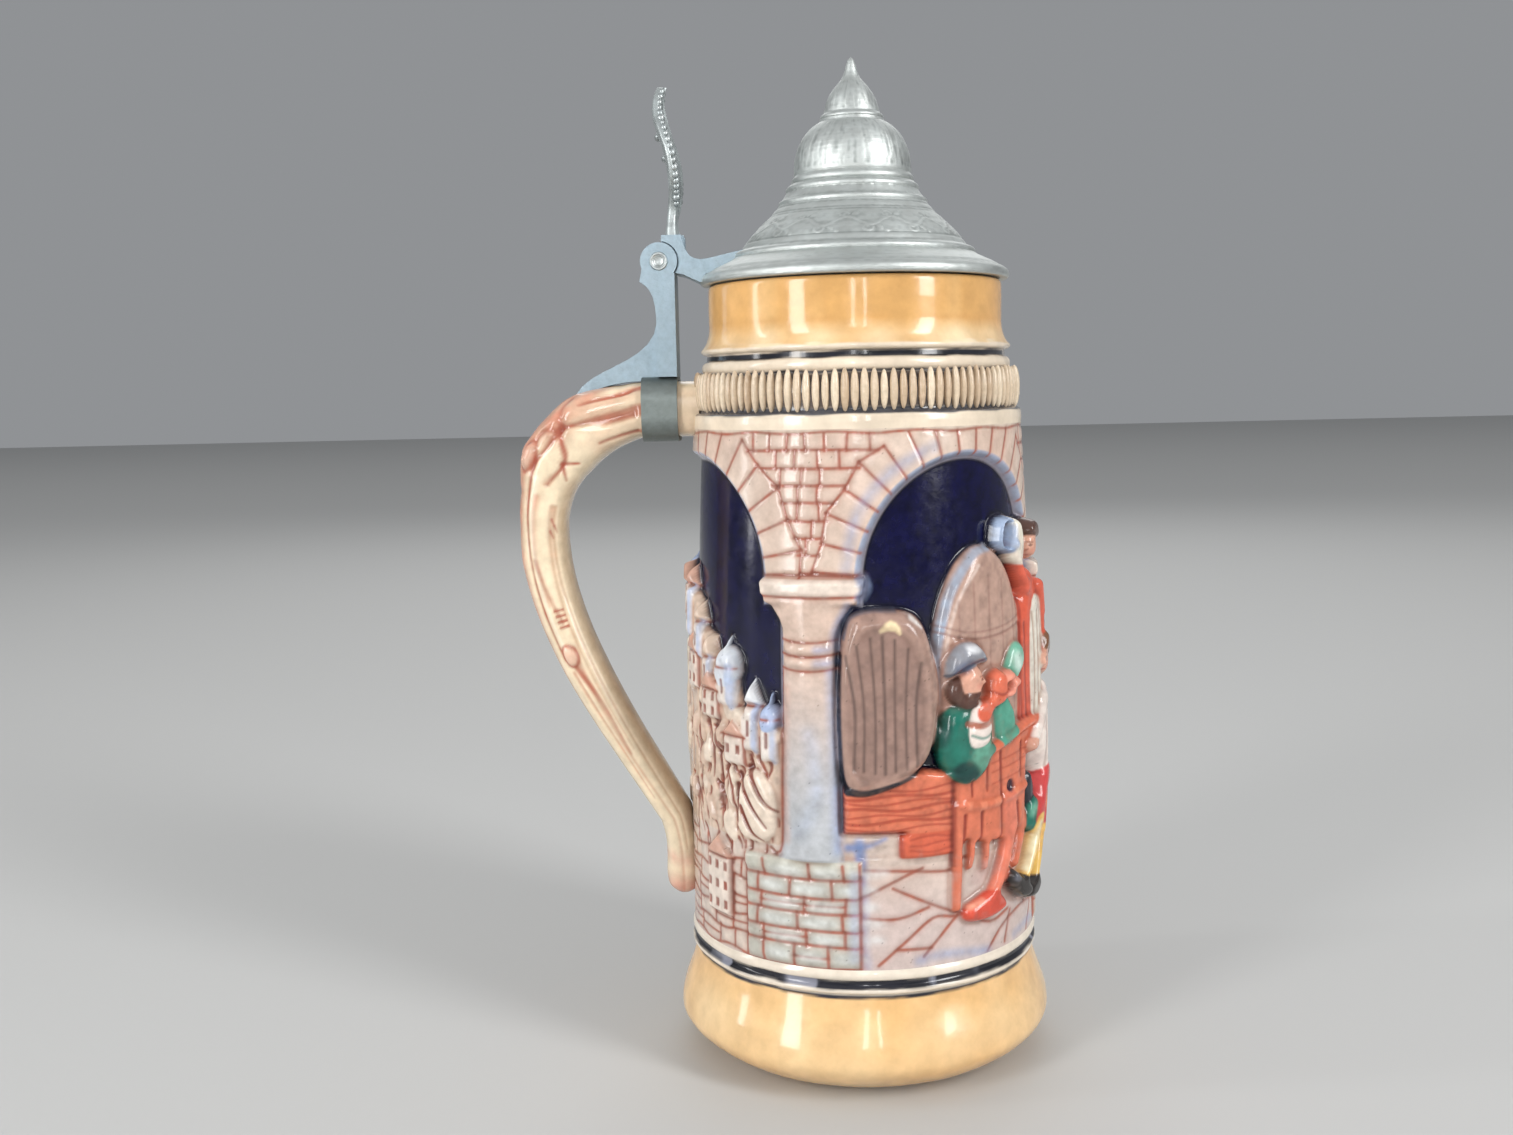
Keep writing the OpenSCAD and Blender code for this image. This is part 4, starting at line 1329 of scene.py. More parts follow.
@dataclass
class ArcadeWall:
    """The cast wall of the mug from the foot's bands to the ribbed ring, with all its relief."""

    low_z: float = WALL_LOW
    top_z: float = WALL_TOP
    low_r: float = 44.3
    belly_r: float = 44.0
    top_r: float = 41.4
    step: float = 0.3
    cols: int = 900
    column_angle: float = 109.0
    arch_angle: float = 54.5
    bay_half: float = 35.4
    town_half: float = 47.5
    town_centre: float = 12.8
    opening_r: float = 29.8
    column_to_arch: float = 40.9
    sky: float = -2.3
    cobalt: str = "#040433"

    def __post_init__(self) -> None:
        """Set up the levels and the empty canvas."""
        rows = int(round((self.top_z - self.low_z) / self.step)) + 1
        self.z = np.linspace(self.low_z, self.top_z, rows)
        self.degrees = np.arange(self.cols) * 360 / self.cols - 180
        curve = trace(
            (self.low_r, self.low_z), ((self.belly_r, 93.0), (self.belly_r, 115.4), (self.top_r, 160.4), 60)
        )
        self.radius = np.interp(self.z, [q[1] for q in curve], [q[0] for q in curve])
        self.height = np.zeros((rows, self.cols))
        self.paint = np.zeros((rows, self.cols, 3))

    def panel(
        self, centre: float, half: float, seed: int, mirrored: bool = False
    ) -> tuple[Panel, np.ndarray]:
        """Take a part of the wall as a drawing board.

        Args:
            centre: Its middle, in degrees round the mug.
            half: Half its width in degrees.
            seed: Seed of its uneven paint.
            mirrored: True if it is drawn with left and right exchanged.

        Returns:
            The panel, and the columns that it covers.
        """
        n = int(half / 360 * self.cols)
        middle = int(round((centre + 180) / 360 * self.cols))
        offsets = np.arange(-n, n + 1)
        cols = (middle + (offsets[::-1] if mirrored else offsets)) % self.cols
        x = offsets * 360 / self.cols * MM_PER_DEG
        return Panel(x, self.z, self.height[:, cols], self.paint[:, cols], seed), cols

    def put(self, panel: Panel, cols: np.ndarray) -> None:
        """Lay a finished panel back on the wall."""
        self.height[:, cols] = panel.height
        self.paint[:, cols] = panel.paint

    def draw(self) -> None:
        """Draw the whole arcade."""
        masonry = Masonry()
        self._ground()
        p, cols = self.panel(180, 71, 21)
        self._opening(p, wide=True)
        Town().draw(p)
        self.put(p, cols)
        second = Dress(
            waistcoat="#8a3b35", waistcoat_lit="#d98a6c", waistcoat_shaded="#4d1f24", sleeve="#c9694d",
            coat="#2f7a6b", breeches="#3f5d8f", stocking="#e9e0cf", hat="#3f6a5c", hair="#8a5a35"
        )
        for k, (centre, dress) in enumerate(((-self.arch_angle, Dress()), (self.arch_angle, second))):
            p, cols = self.panel(centre, 54.5, 31 + k, mirrored=k == 1)
            self._opening(p, wide=False)
            Tavern(dress).draw(p)
            self._arch_front(p, masonry)
            self.put(p, cols)
        p, cols = self.panel(180, 71, 24)
        for side in (-1, 1):
            start, stop = (0, 90) if side > 0 else (180, 90)
            masonry.arch_stones(p, side * self.town_centre, masonry.spring, start, stop, 8)
        self.put(p, cols)
        for k, angle in enumerate((-self.column_angle, 0.0, self.column_angle)):
            p, cols = self.panel(angle, 34, 41 + k, mirrored=k == 2)
            masonry.spandrel(p, self.column_to_arch if k == 1 else 40.6, self.column_to_arch)
            if k == 1:
                masonry.column(p, 11.5, 12.5, 7)
            else:
                masonry.column(p, 17.4, 11.3, 3 + k)
            self.put(p, cols)
        self._finish()

    def _ground(self) -> None:
        """Lay the bare stone colour over the wall."""
        rows = len(self.z)
        broad = cloud(rows, self.cols, 60, 50, 3)[..., None]
        fine = cloud(rows, self.cols, 12, 10, 4)[..., None]
        pink, cream, lilac = (linear(t) for t in ("#d8baa8", "#e5d2c1", "#cfbfc0"))
        mix = np.clip(0.5 + 0.5 * broad, 0, 1)
        self.paint[:] = mixed(pink, cream, mix) * (1 + 0.07 * fine)
        low = ease((70 - self.z) / 30)[:, None, None] * 0.55
        self.paint[:] = mixed(self.paint, lilac, low)
        rim = ease((self.z - 158.4) / 0.8)[:, None, None]
        self.paint[:] = mixed(self.paint, linear("#e6d6c2"), rim)

    def _opening(self, p: Panel, wide: bool) -> None:
        """Sink a bay and fill it with dark sky.

        Args:
            p: The bay's panel.
            wide: True for the bay behind the handle.
        """
        x, z = np.meshgrid(p.x, p.z)
        centre, half = (self.town_centre, self.town_half) if wide else (0.0, self.bay_half)
        d = np.hypot(np.maximum(np.abs(x) - centre, 0), np.maximum(z - SPRING, 0)) - self.opening_r
        d = np.minimum(d, np.maximum(np.abs(x) - half, z - SPRING + 3.5))
        d = np.maximum(d, 59.5 - z)
        depth = ease(-d / 1.9)
        p.height[:] = p.height + (self.sky - p.height) * depth
        band = (ease((-d + 0.4) / 0.5) * ease((d + 2.3) / 0.5))[..., None] * 0.85
        p.paint[:] = mixed(p.paint, linear("#94a6c4") * (1 + 0.12 * p.mottle[..., None]), band)
        dark = ease((-d - 1.6) / 0.6)[..., None]
        blue = linear(self.cobalt) * (1 + 0.55 * p.mottle[..., None])
        p.paint[:] = mixed(p.paint, blue, dark)

    def _arch_front(self, p: Panel, masonry: Masonry) -> None:
        """Draw the stones of a front arch over the picture's edge."""
        masonry.arch_stones(p, 0.0, masonry.spring, 4, 176, 17)
        p.brush(Stroke(((-31.8, 128), (-29.2, 140), (-21, 150), (-10, 155.6)), 2.4), masonry.wash, 0.4, 1.4)

    def _finish(self) -> None:
        """Soften the relief as the glaze does; darken its hollows for glaze pooling and painted shade, and
        lighten its raised parts for wear and painted highlight.
        """
        rows, cols = self.height.shape
        pinch = ease((self.z - self.low_z) / 2.0) * ease((self.top_z - self.z) / 2.0)
        self.height *= pinch[:, None]
        line = Panel(self.degrees * MM_PER_DEG, self.z, self.height, self.paint, 91)
        edge = tuple((x, 159.2 + 0.25 * math.sin(0.31 * x)) for x in range(-135, 136, 5))
        line.joint(*edge, width=0.65)
        self.height = soften(self.height, 1)
        hollow = soften(self.height, 3) - self.height
        deep = np.clip(hollow / 0.30, 0, 1)[..., None]
        bump = np.clip(-hollow / 0.45, 0, 1)[..., None]
        light = self.paint.mean(-1, keepdims=True)
        # hollows darker and redder: glaze pooling and painted shade
        pooled_and_shaded = self.paint * np.array([0.62, 0.42, 0.36]) * np.clip(light * 3, 0.35, 1)
        self.paint = mixed(self.paint, pooled_and_shaded, 0.62 * deep)
        # raised parts lighter: wear and painted highlight
        worn = np.clip(self.paint * 1.25 + 0.02, 0, 1)
        self.paint = mixed(self.paint, worn, 0.35 * bump)
        grey = self.paint.mean(-1, keepdims=True)
        self.paint = (self.paint * 0.92 + grey * 0.08) * 0.92
        speck = np.random.default_rng(77).random((rows, cols))
        self.paint *= np.where(speck > 0.9985, 0.55, 1.0)[..., None]

    def build(self) -> list[bpy.types.Object]:
        """Build the wall in six pieces that stand edge to edge.

        Returns:
            The pieces.
        """
        self.draw()
        angle = np.radians(self.degrees)
        radius = self.radius[:, None] + self.height
        levels = np.linspace(self.top_z, self.low_z, 14)
        inner_r = np.interp(levels, [33, 60, 125, 160], [36.9, 38.0, 38.0, 35.4])[:, None]
        outer, inner = (
            np.stack([r * np.cos(angle), r * np.sin(angle), np.repeat(z[:, None], self.cols, 1)], -1)
            for r, z in ((radius, self.z), (inner_r, levels))
        )
        place = np.concatenate([outer, inner])
        glaze = np.broadcast_to(linear(INSIDE_GLAZE), inner.shape) * (
            1 + 0.05 * cloud(14, self.cols, 3, 20, 8)[..., None]
        )
        paint = np.concatenate([self.paint, glaze])
        normals = np.concatenate([normals_of(outer, False), normals_of(inner, False)])
        cuts = [int(round((a + 180) / 360 * self.cols)) for a in (-180, -109, -54.5, 0, 54.5, 109, 180)]
        pieces = []
        for k, (a, b) in enumerate(zip(cuts, cuts[1:])):
            cols = np.arange(a, b + 1) % self.cols
            skin = Skin(
                place[:, cols], paint[:, cols], loop_rows=True, loop_cols=False, normals=normals[:, cols]
            )
            pieces.append(skin.mesh(f"mug_wall_{k + 1}"))
        return pieces


@dataclass
class MugFoot:
    """The rounded amber foot with the bands above it, and the floor of the mug."""

    cols: int = 460
    amber: str = "#e8bb80"
    black: str = "#20212a"
    cream: str = "#e8dccb"

    def profile(self) -> np.ndarray:
        """Give the outline from under the foot to the middle of the floor.

        Returns:
            The points as (radius, height).
        """
        points = trace(
            (0, 2.5),
            (29.1, 2.5), (30.8, 1.7), (31.5, 0.0), (35.5, 0.0),
            ((40.0, 1.6), (48.0, 6.2), (48.0, 10.3), 14), ((48.0, 15.0), (45.0, 19.6), (43.8, 25.3), 14),
            (43.6, 26.2), (43.7, 26.9), ((44.9, 26.9), (45.3, 28.4), (44.2, 28.7), 6), (43.8, 29.1),
            (43.8, 30.1), ((44.7, 30.4), (44.9, 31.4), (44.7, 32.2), 5), (44.3, 33.0), (36.9, 33.0),
            ((36.3, 11.5), (34.3, 11.5), (22.0, 11.5), 12), (0, 11.5),
        )
        return resample(points, 0.79)

    def build(self) -> bpy.types.Object:
        """Build the foot.

        Returns:
            The foot.
        """
        profile = self.profile()
        profile[[0, -1], 0] = 0.02
        rows = len(profile)
        wave = cloud(rows, self.cols, 26, 22, 51)
        outside = int(np.argmax(np.hypot(profile[:, 0] - 44.3, profile[:, 1] - WALL_LOW) < 1e-6))
        swell = 0.14 * wave + 0.07 * cloud(rows, self.cols, 11, 13, 58)
        swell = swell * (np.arange(rows) <= outside)[:, None] * (profile[:, 1:] > 1)
        z = profile[:, 1:] + 0.3 * cloud(
            rows, self.cols, 400, 16, 52
        ) + 0.12 * cloud(rows, self.cols, 400, 4, 53)
        z[outside:] = WALL_LOW
        fine = cloud(rows, self.cols, 5, 9, 54)
        streak = cloud(rows, self.cols, 60, 12, 55)
        amber = linear(self.amber) * (1 + 0.06 * wave + 0.03 * fine + 0.04 * streak)[..., None]
        # painted sheen: broad whitish patches and a belt round the foot's bulge stand in for the glaze's
        # pearly highlights
        belt = ease((z - 5) / 5) * ease((24 - z) / 8)
        sheen = 0.5 * cloud(rows, self.cols, 30, 40, 56) + 0.25 * streak + 0.35 * belt
        amber = mixed(amber, linear("#f1d9ae"), (np.clip(sheen, 0, 1) * 0.75)[..., None])
        cream = linear(self.cream) * (1 + 0.05 * fine[..., None])
        black = linear(self.black) * (1 + 0.5 * fine[..., None])
        paint = mixed(amber, cream, ease((z - 26.0) / 0.6 + 0.5)[..., None])
        paint = mixed(paint, black * 1.2, between(z, 25.7, 26.6 + 0.25 * streak)[..., None])
        worn = ease((cloud(rows, self.cols, 40, 7, 57) - 0.55) / 0.25)[..., None]
        band = between(z, 28.3, 30.4 + 0.2 * fine)[..., None]
        paint = mixed(paint, mixed(black, linear("#8d8f9c"), worn), band)
        paint[outside:] = linear(INSIDE_GLAZE)
        under = (profile[:, 1] < 2.6) & (profile[:, 0] < 36)
        paint[under] = linear("#d9cbb8") * (1 + 0.08 * fine[under][..., None])
        return Skin(turned(profile, self.cols, swell), paint).mesh("mug_foot", 50)


@dataclass
class MugNeck:
    """The top of the mug: plain band, groove, seat of the ribbed ring, ridges and amber neck."""

    cols: int = 480
    amber: str = "#e0ad6c"

    def profile(self) -> np.ndarray:
        """Give the outline as a loop, up the outside and down the inside.

        Returns:
            The points as (radius, height).
        """
        points = trace(
            (41.4, 160.0),
            (41.5, 161.5), (41.4, 163.1), ((41.2, 163.9), (40.1, 163.7), (39.9, 164.4), 4),
            (39.9, 165.0), (40.0, 166.2), (40.3, 168.8), (39.7, 171.4), (39.0, 172.6),
            ((37.8, 172.8), (37.8, 173.2), (38.3, 173.5), 3),
            ((39.1, 174.2), (38.9, 175.6), (38.2, 176.1), 5), (37.5, 176.6), (37.4, 177.9),
            ((38.9, 178.3), (39.2, 179.0), (38.5, 179.6), 5),
            ((37.4, 180.6), (36.8, 182.8), (36.7, 184.8), 7), (36.75, 190.0), (36.7, 194.0),
            ((36.6, 195.0), (36.2, 195.2), (35.6, 195.2), 4), (33.4, 195.2),
            ((32.6, 195.1), (32.4, 194.6), (32.4, 194.0), 4), (32.4, 184.4),
            ((32.4, 176.9), (35.4, 174.9), (35.4, 165.4), 8), (35.4, 160.0),
        )
        return resample(points, 0.46)

    def build(self) -> bpy.types.Object:
        """Build the neck.

        Returns:
            The neck.
        """
        profile = self.profile()
        rows = len(profile)
        rim = int(np.argmax(profile[:, 1]))
        outer = (np.arange(rows) <= rim)[:, None]
        wave = cloud(rows, self.cols, 30, 26, 61)
        fine = cloud(rows, self.cols, 4, 8, 62)
        streak = cloud(rows, self.cols, 80, 14, 63)
        z = profile[:, 1:] + 0.22 * cloud(
            rows, self.cols, 400, 14, 64
        ) + 0.1 * cloud(rows, self.cols, 400, 4, 65)
        cream = linear("#e7d7c1") * (1 + 0.07 * wave + 0.05 * fine)[..., None]
        dark = linear("#1f2028") * (1 + 0.5 * fine[..., None])
        grey = linear("#4a4a4f") * (1 + 0.3 * fine[..., None])
        amber = linear(self.amber) * (1 + 0.09 * wave + 0.04 * fine + 0.05 * streak)[..., None]
        worn = ease((cloud(rows, self.cols, 50, 8, 66) - 0.6) / 0.2)
        fade = ease((185.5 - z) / 4.5) * (0.55 + 0.35 * np.clip(streak, -1, 1))
        rust = ease((186.5 - z) / 2) * ease((z - 184.0) / 2) * np.clip(0.5 + streak, 0, 1) * 0.3
        for tint, share in (
            ("#f0d6a6", np.clip(0.45 * streak + 0.35 * wave, 0, 1) * 0.5), ("#f2dcb4", fade),
            ("#b9753c", rust)
        ):
            amber = mixed(amber, linear(tint), share[..., None])
        paint = cream
        for low, high, colour in (
            (163.3, 165.0, grey),
            (165.0, 172.8, linear("#594d47") * (1 + 0.4 * fine[..., None])),
            (172.8, 173.5, grey),
            (176.3, 177.9, mixed(dark, linear("#9a958f"), worn[..., None])),
            (179.4, 200, amber),
        ):
            paint = mixed(paint, colour, (between(z, low, high) * outer)[..., None])
        chipped = ease(
            (0.55 - np.abs(z - 179.6 - 0.25 * fine)) / 0.3
        ) * np.clip(0.2 + streak + fine, 0, 1) * outer
        paint = mixed(paint, linear("#f0dcb8"), chipped[..., None])
        paint = np.where(outer[..., None], paint, linear("#ebe2d4") * (1 + 0.04 * fine[..., None]))
        swell = 0.1 * wave * outer
        return Skin(turned(profile, self.cols, swell), paint, loop_rows=True).mesh("mug_neck", 50)


# ------------------------------------------------------------------ node trees that repeat things


class Repeat:
    """A Geometry Nodes tree that sets copies of a small form on a path and makes them one mesh."""

    def __init__(self, name: str) -> None:
        """Start a tree with the sockets that each user sets.

        Args:
            name: Name of the tree.
        """
        self.tree = bpy.data.node_groups.new(name, "GeometryNodeTree")
        face = self.tree.interface
        self.ids: dict[str, str] = {}
        face.new_socket("Path", in_out="INPUT", socket_type="NodeSocketGeometry")
        for label, kind, value in (
            ("Count", "NodeSocketInt", 24), ("Length", "NodeSocketFloat", 0.003),
            ("Width", "NodeSocketFloat", 0.001), ("Depth", "NodeSocketFloat", 0.001),
            ("Unevenness", "NodeSocketFloat", 0.05), ("Seed", "NodeSocketInt", 3)
        ):
            socket = face.new_socket(label, in_out="INPUT", socket_type=kind)
            socket.default_value = value
            self.ids[label] = socket.identifier
        socket = face.new_socket("Finish", in_out="INPUT", socket_type="NodeSocketMaterial")
        self.ids["Finish"] = socket.identifier
        face.new_socket("Mesh", in_out="OUTPUT", socket_type="NodeSocketGeometry")
        self._wire()

    def _wire(self) -> None:
        """Wire the tree: spread points on the path, set a bead on each, realize, and dress."""
        nodes, link = self.tree.nodes, self.tree.links.new
        made = {
            key: nodes.new(kind)
            for key, kind in {
                "in": "NodeGroupInput", "curve": "GeometryNodeMeshToCurve",
                "spread": "GeometryNodeResampleCurve", "bead": "GeometryNodeMeshUVSphere",
                "shape": "GeometryNodeTransform", "size": "ShaderNodeCombineXYZ",
                "set": "GeometryNodeInstanceOnPoints", "tangent": "GeometryNodeInputTangent",
                "turn": "FunctionNodeAlignEulerToVector", "random": "FunctionNodeRandomValue",
                "low": "ShaderNodeMath", "high": "ShaderNodeMath", "tone": "GeometryNodeStoreNamedAttribute",
                "toner": "FunctionNodeRandomValue", "real": "GeometryNodeRealizeInstances",
                "smooth": "GeometryNodeSetShadeSmooth", "finish": "GeometryNodeSetMaterial",
                "out": "NodeGroupOutput"
            }.items()
        }
        made["bead"].inputs["Segments"].default_value = 10
        made["bead"].inputs["Rings"].default_value = 8
        made["bead"].inputs["Radius"].default_value = 1.0
        made["turn"].axis, made["turn"].pivot_axis = "X", "Z"
        made["low"].operation, made["high"].operation = "SUBTRACT", "ADD"
        made["low"].inputs[0].default_value = made["high"].inputs[0].default_value = 1.0
        made["tone"].data_type, made["tone"].domain = "FLOAT", "INSTANCE"
        made["tone"].inputs["Name"].default_value = "tone"
        for start, out, stop, into in (
            ("in", "Path", "curve", "Mesh"), ("curve", "Curve", "spread", "Curve"),
            ("in", "Count", "spread", "Count"), ("in", "Width", "size", "X"), ("in", "Depth", "size", "Y"),
            ("in", "Length", "size", "Z"), ("bead", "Mesh", "shape", "Geometry"),
            ("size", "Vector", "shape", "Scale"), ("spread", "Curve", "set", "Points"),
            ("shape", "Geometry", "set", "Instance"), ("tangent", "Tangent", "turn", "Vector"),
            ("turn", "Rotation", "set", "Rotation"), ("in", "Unevenness", "low", 1),
            ("in", "Unevenness", "high", 1), ("low", 0, "random", 2), ("high", 0, "random", 3),
            ("in", "Seed", "random", "Seed"), ("random", 1, "set", "Scale"),
            ("set", "Instances", "tone", "Geometry"), ("toner", 1, "tone", "Value"),
            ("tone", "Geometry", "real", "Geometry"), ("real", "Geometry", "smooth", "Geometry"),
            ("smooth", "Geometry", "finish", "Geometry"), ("in", "Finish", "finish", "Material"),
            ("finish", "Geometry", "out", "Mesh")
        ):
            link(made[start].outputs[out], made[stop].inputs[into])

    def along(
        self, name: str, path: Sequence[tuple[float, float, float]], closed: bool,
        finish: bpy.types.Material, **sizes: float
    ) -> bpy.types.Object:
        """Set beads along a path and give them back as a plain mesh.

        Args:
            name: Name of the piece.
            path: Points in millimetres.
            closed: True if the path is a ring.
            finish: The material.
            **sizes: Values for the tree's sockets by label, lengths in metres.

        Returns:
            The finished object.
        """
        edges = [(i, i + 1) for i in range(len(path) - 1)] + ([(len(path) - 1, 0)] if closed else [])
        host = bpy.data.meshes.new(name + "_path")
        host.from_pydata([tuple(v * MM for v in q) for q in path], edges, [])
        obj = linked(name, host)
        made = obj.modifiers.new("beads", "NODES")
        made.node_group = self.tree
        for label, value in sizes.items():
            made[self.ids[label]] = value
        made[self.ids["Finish"]] = finish
        graph = bpy.context.evaluated_depsgraph_get()
        mesh = bpy.data.meshes.new_from_object(obj.evaluated_get(graph), depsgraph=graph)
        obj.modifiers.clear()
        obj.data = mesh
        mesh.name = name
        bpy.data.meshes.remove(host)
        return obj


@dataclass
class RibbedRing:
    """The ring of upright beads below the neck."""

    count: int = 112
    radius: float = 40.05
    level: float = 168.9

    def build(self, repeat: Repeat, finish: bpy.types.Material) -> bpy.types.Object:
        """Build the ring with the node tree.

        Args:
            repeat: The node tree that sets copies on a path.
            finish: The material.

        Returns:
            The ring.
        """
        path = []
        for i in range(224):
            a = 2 * math.pi * i / 224 + math.pi
            path.append((self.radius * math.cos(a), self.radius * math.sin(a), self.level))
        return repeat.along(
            "mug_ribs", path, True, finish, Count=self.count, Length=4.9 * MM, Width=1.02 * MM,
            Depth=1.2 * MM, Unevenness=0.07, Seed=9
        )


# ------------------------------------------------------------------ the handle


@dataclass
class BranchHandle:
    """The luted handle: a knotty branch that bends down from the ribbed ring to the arcade's foot."""

    start_x: float = -39.4
    cols: int = 124
    half_round: float = 23.0
    cream: str = "#eddabb"
    flute: str = "#ab5641"
    run: np.ndarray = field(init=False, repr=False)

    def line(self) -> tuple[np.ndarray, np.ndarray]:
        """Give the middle line.

        Returns:
            Its points evenly spaced as (x, z), and the curve parameter at each.
        """
        curves = (
            ((-37.4, 165.0), (-43.4, 165.0), (-46.8, 165.0), (-55.0, 164.9)),
            ((-55.0, 164.9), (-65.0, 163.0), (-80.4, 155.4), (-80.6, 136.5)),
            ((-80.6, 136.5), (-80.9, 110.5), (-64.0, 86.0), (-48.6, 60.0)),
            ((-48.6, 60.0), (-47.0, 55.0), (-46.4, 48.0), (-47.0, 38.0)),
        )
        points, s = [curves[0][0]], [0.0]
        for k, c in enumerate(curves):
            points += cubic(*c, 100)
            s += [k + (i + 1) / 100 for i in range(100)]
        p, s = np.array(points), np.array(s)
        keep = p[:, 0] <= self.start_x
        keep[150:] = True
        p, s = p[keep], s[keep]
        run = np.concatenate([[0], np.cumsum(np.hypot(*np.diff(p, axis=0).T))])
        self.run = np.linspace(0, run[-1], int(run[-1] / 0.4))
        x, z, at = (np.interp(self.run, run, values) for values in (p[:, 0], p[:, 1], s))
        return np.stack([x, z], 1), at

    def draw(self, p: Panel) -> None:
        """Model the flutes, the knots and the paint on a panel.

        Args:
            p: A panel with x across the handle, 0 on its outer edge, and z along it from the wall.
        """
        along = [18, 27, 30, 35, 39, 42, 45, 50, 58, 66]
        bend = np.interp(p.z, along, [0, 2.1, 2.3, 1.7, 1.8, 2.2, 1.1, -0.7, -0.6, 0])
        p.height[:] += bend[:, None] * ease((13 - np.abs(p.x)) / 9)
        for s in (-1, 1):
            for line, w, deep in (
                (((5.2, 12), (7.0, 19), (6.4, 27.5)), 2.0, 1.0),
                (((11.2, 10), (11.6, 20), (10.4, 28), (8.2, 34)), 1.7, 0.9),
                (((16.6, 14), (15.8, 22), (14.8, 28)), 1.6, 0.4),
                (((8.2, 33), (8.7, 38), (7.9, 44.5)), 1.7, 0.8),
                (((8.4, 34), (11.4, 36.6), (12.8, 40.5), (11.8, 46.5)), 1.2, 0.6),
                (((12.6, 39.5), (15.4, 36.6)), 1.0, 0.45),
                (((12.6, 40), (15.6, 43.2)), 1.0, 0.45),
                (((8.0, 33.5), (5.0, 31.5), (3.2, 28)), 1.4, 0.6),
                (((7.6, 34.5), (5.6, 36.6), (5.6, 39.0)), 1.4, 0.6),
                (((7.6, 42), (8.3, 48), (8.4, 60), (8.0, 92)), 1.1, 0.5),
            ):
                p.carve(Stroke(tuple((s * x, z) for x, z in line), w, 0.6), deep, self.flute, 0.85, 0.9)
            p.form(Oval(s * 5.4, 42.4, 1.7, 2.6), 2.7, 1.3, "#e9cdb6", 0.06)
            ring = tuple(
                (
                    s * 5.4 + 2.1 * math.cos(t), 42.4 + 3.1 * math.sin(t)
                ) for t in np.linspace(0, 2 * math.pi, 13)
            )
            p.carve(Stroke(ring, 0.9), 0.55, self.flute, 0.85, 0.7)
            p.brush(Oval(s * 7.4, 34.0, 3.2, 4.4), "#b86a55", 0.6, 2.0)
            p.brush(Stroke(((s * 6.0, 14), (s * 8.8, 22), (s * 8.6, 28)), 4.0), "#c98d76", 0.4, 1.6)
            # a real ridge down each side, tinted paler than the cream as a painted highlight
            p.form(
                Stroke(((s * 9.7, 46), (s * 9.9, 56), (s * 9.7, 90)), 1.5, 0.8), 0.55, 0.8, "#f1e2c8", 0.05
            )
            for line, w, tint, share in (
                (((10.6, 50), (10.2, 64), (10.4, 78)), 1.1, "#cf9a84", 0.6),
                (((14.2, 52), (13.6, 80), (12.8, 120)), 1.4, "#c9a083", 0.55),
                (((9.6, 66), (10.8, 74), (12.0, 83)), 1.2, self.flute, 0.6),
                (((8.8, 96), (9.4, 114), (9.2, 134)), 1.3, "#c98a70", 0.55),
                (((11.8, 90), (10.8, 120), (12.0, 172)), 1.0, "#c98a70", 0.45),
                (((15.4, 52), (15.0, 96), (13.8, 150)), 1.1, "#b98f72", 0.5),
            ):
                p.carve(Stroke(tuple((s * x, z) for x, z in line), w, 0.4), 0.36, tint, share, 1.0)
            for z in (79.4, 80.9, 82.4, 83.9):
                p.carve(Stroke(((s * 11.2, z), (s * 13.2, z + 0.2)), 0.7), 0.25, "#a8503d", 0.8, 0.5)
            for x, z in ((14.6, 55.6), (15.6, 57.4), (14.2, 58.8)):
                p.brush(Stroke(((s * x, z), (s * (x + 0.9), z + 1.8)), 0.8, 0.3), "#a8503d", 0.75, 0.4)
            p.form(Oval(s * 10.2, 91.5, 2.2, 3.0), 0.7, 2.0, "#e4bfa6", 0.08)
            ring = tuple(
                (
                    s * 10.2 + 2.0 * math.cos(t), 91.5 + 2.9 * math.sin(t)
                ) for t in np.linspace(0, 2 * math.pi, 13)
            )
            p.carve(Stroke(ring, 0.8), 0.35, self.flute, 0.7, 0.6)
            p.carve(
                Stroke(((s * 10.4, 95), (s * 11.8, 106), (s * 11.2, 121)), 1.5, 0.4), 0.5, self.flute, 0.6,
                1.0
            )
            # brown band along the handle's inner side, towards the wall: painted shade
            p.brush(
                Stroke(((s * 20, 46), (s * 21, 90), (s * 20, 150), (s * 19, 186)), 7.0), "#a98a66", 0.5, 3.0
            )
            p.brush(Stroke(((s * 12, 3), (s * 14, 26)), 10.0), "#c89a80", 0.3, 3.0)
        p.brush(Stroke(((0, 27), (0, 60), (0, 92), (0, 124)), 15.0, 6.0), "#c78a72", 0.75, 2.0)
        p.brush(Stroke(((0, 120), (0, 160), (0, 186)), 4.0), "#d8ad96", 0.4, 2.4)
        end = self.run[-1]
        p.brush(Stroke(((-23, end - 1), (0, end - 1), (23, end - 1)), 9.0), "#cf7f72", 0.62, 3.4)
        p.brush(Stroke(((-14, end - 10), (0, end - 12), (14, end - 10)), 3.0), "#d69c8a", 0.5, 2.0)

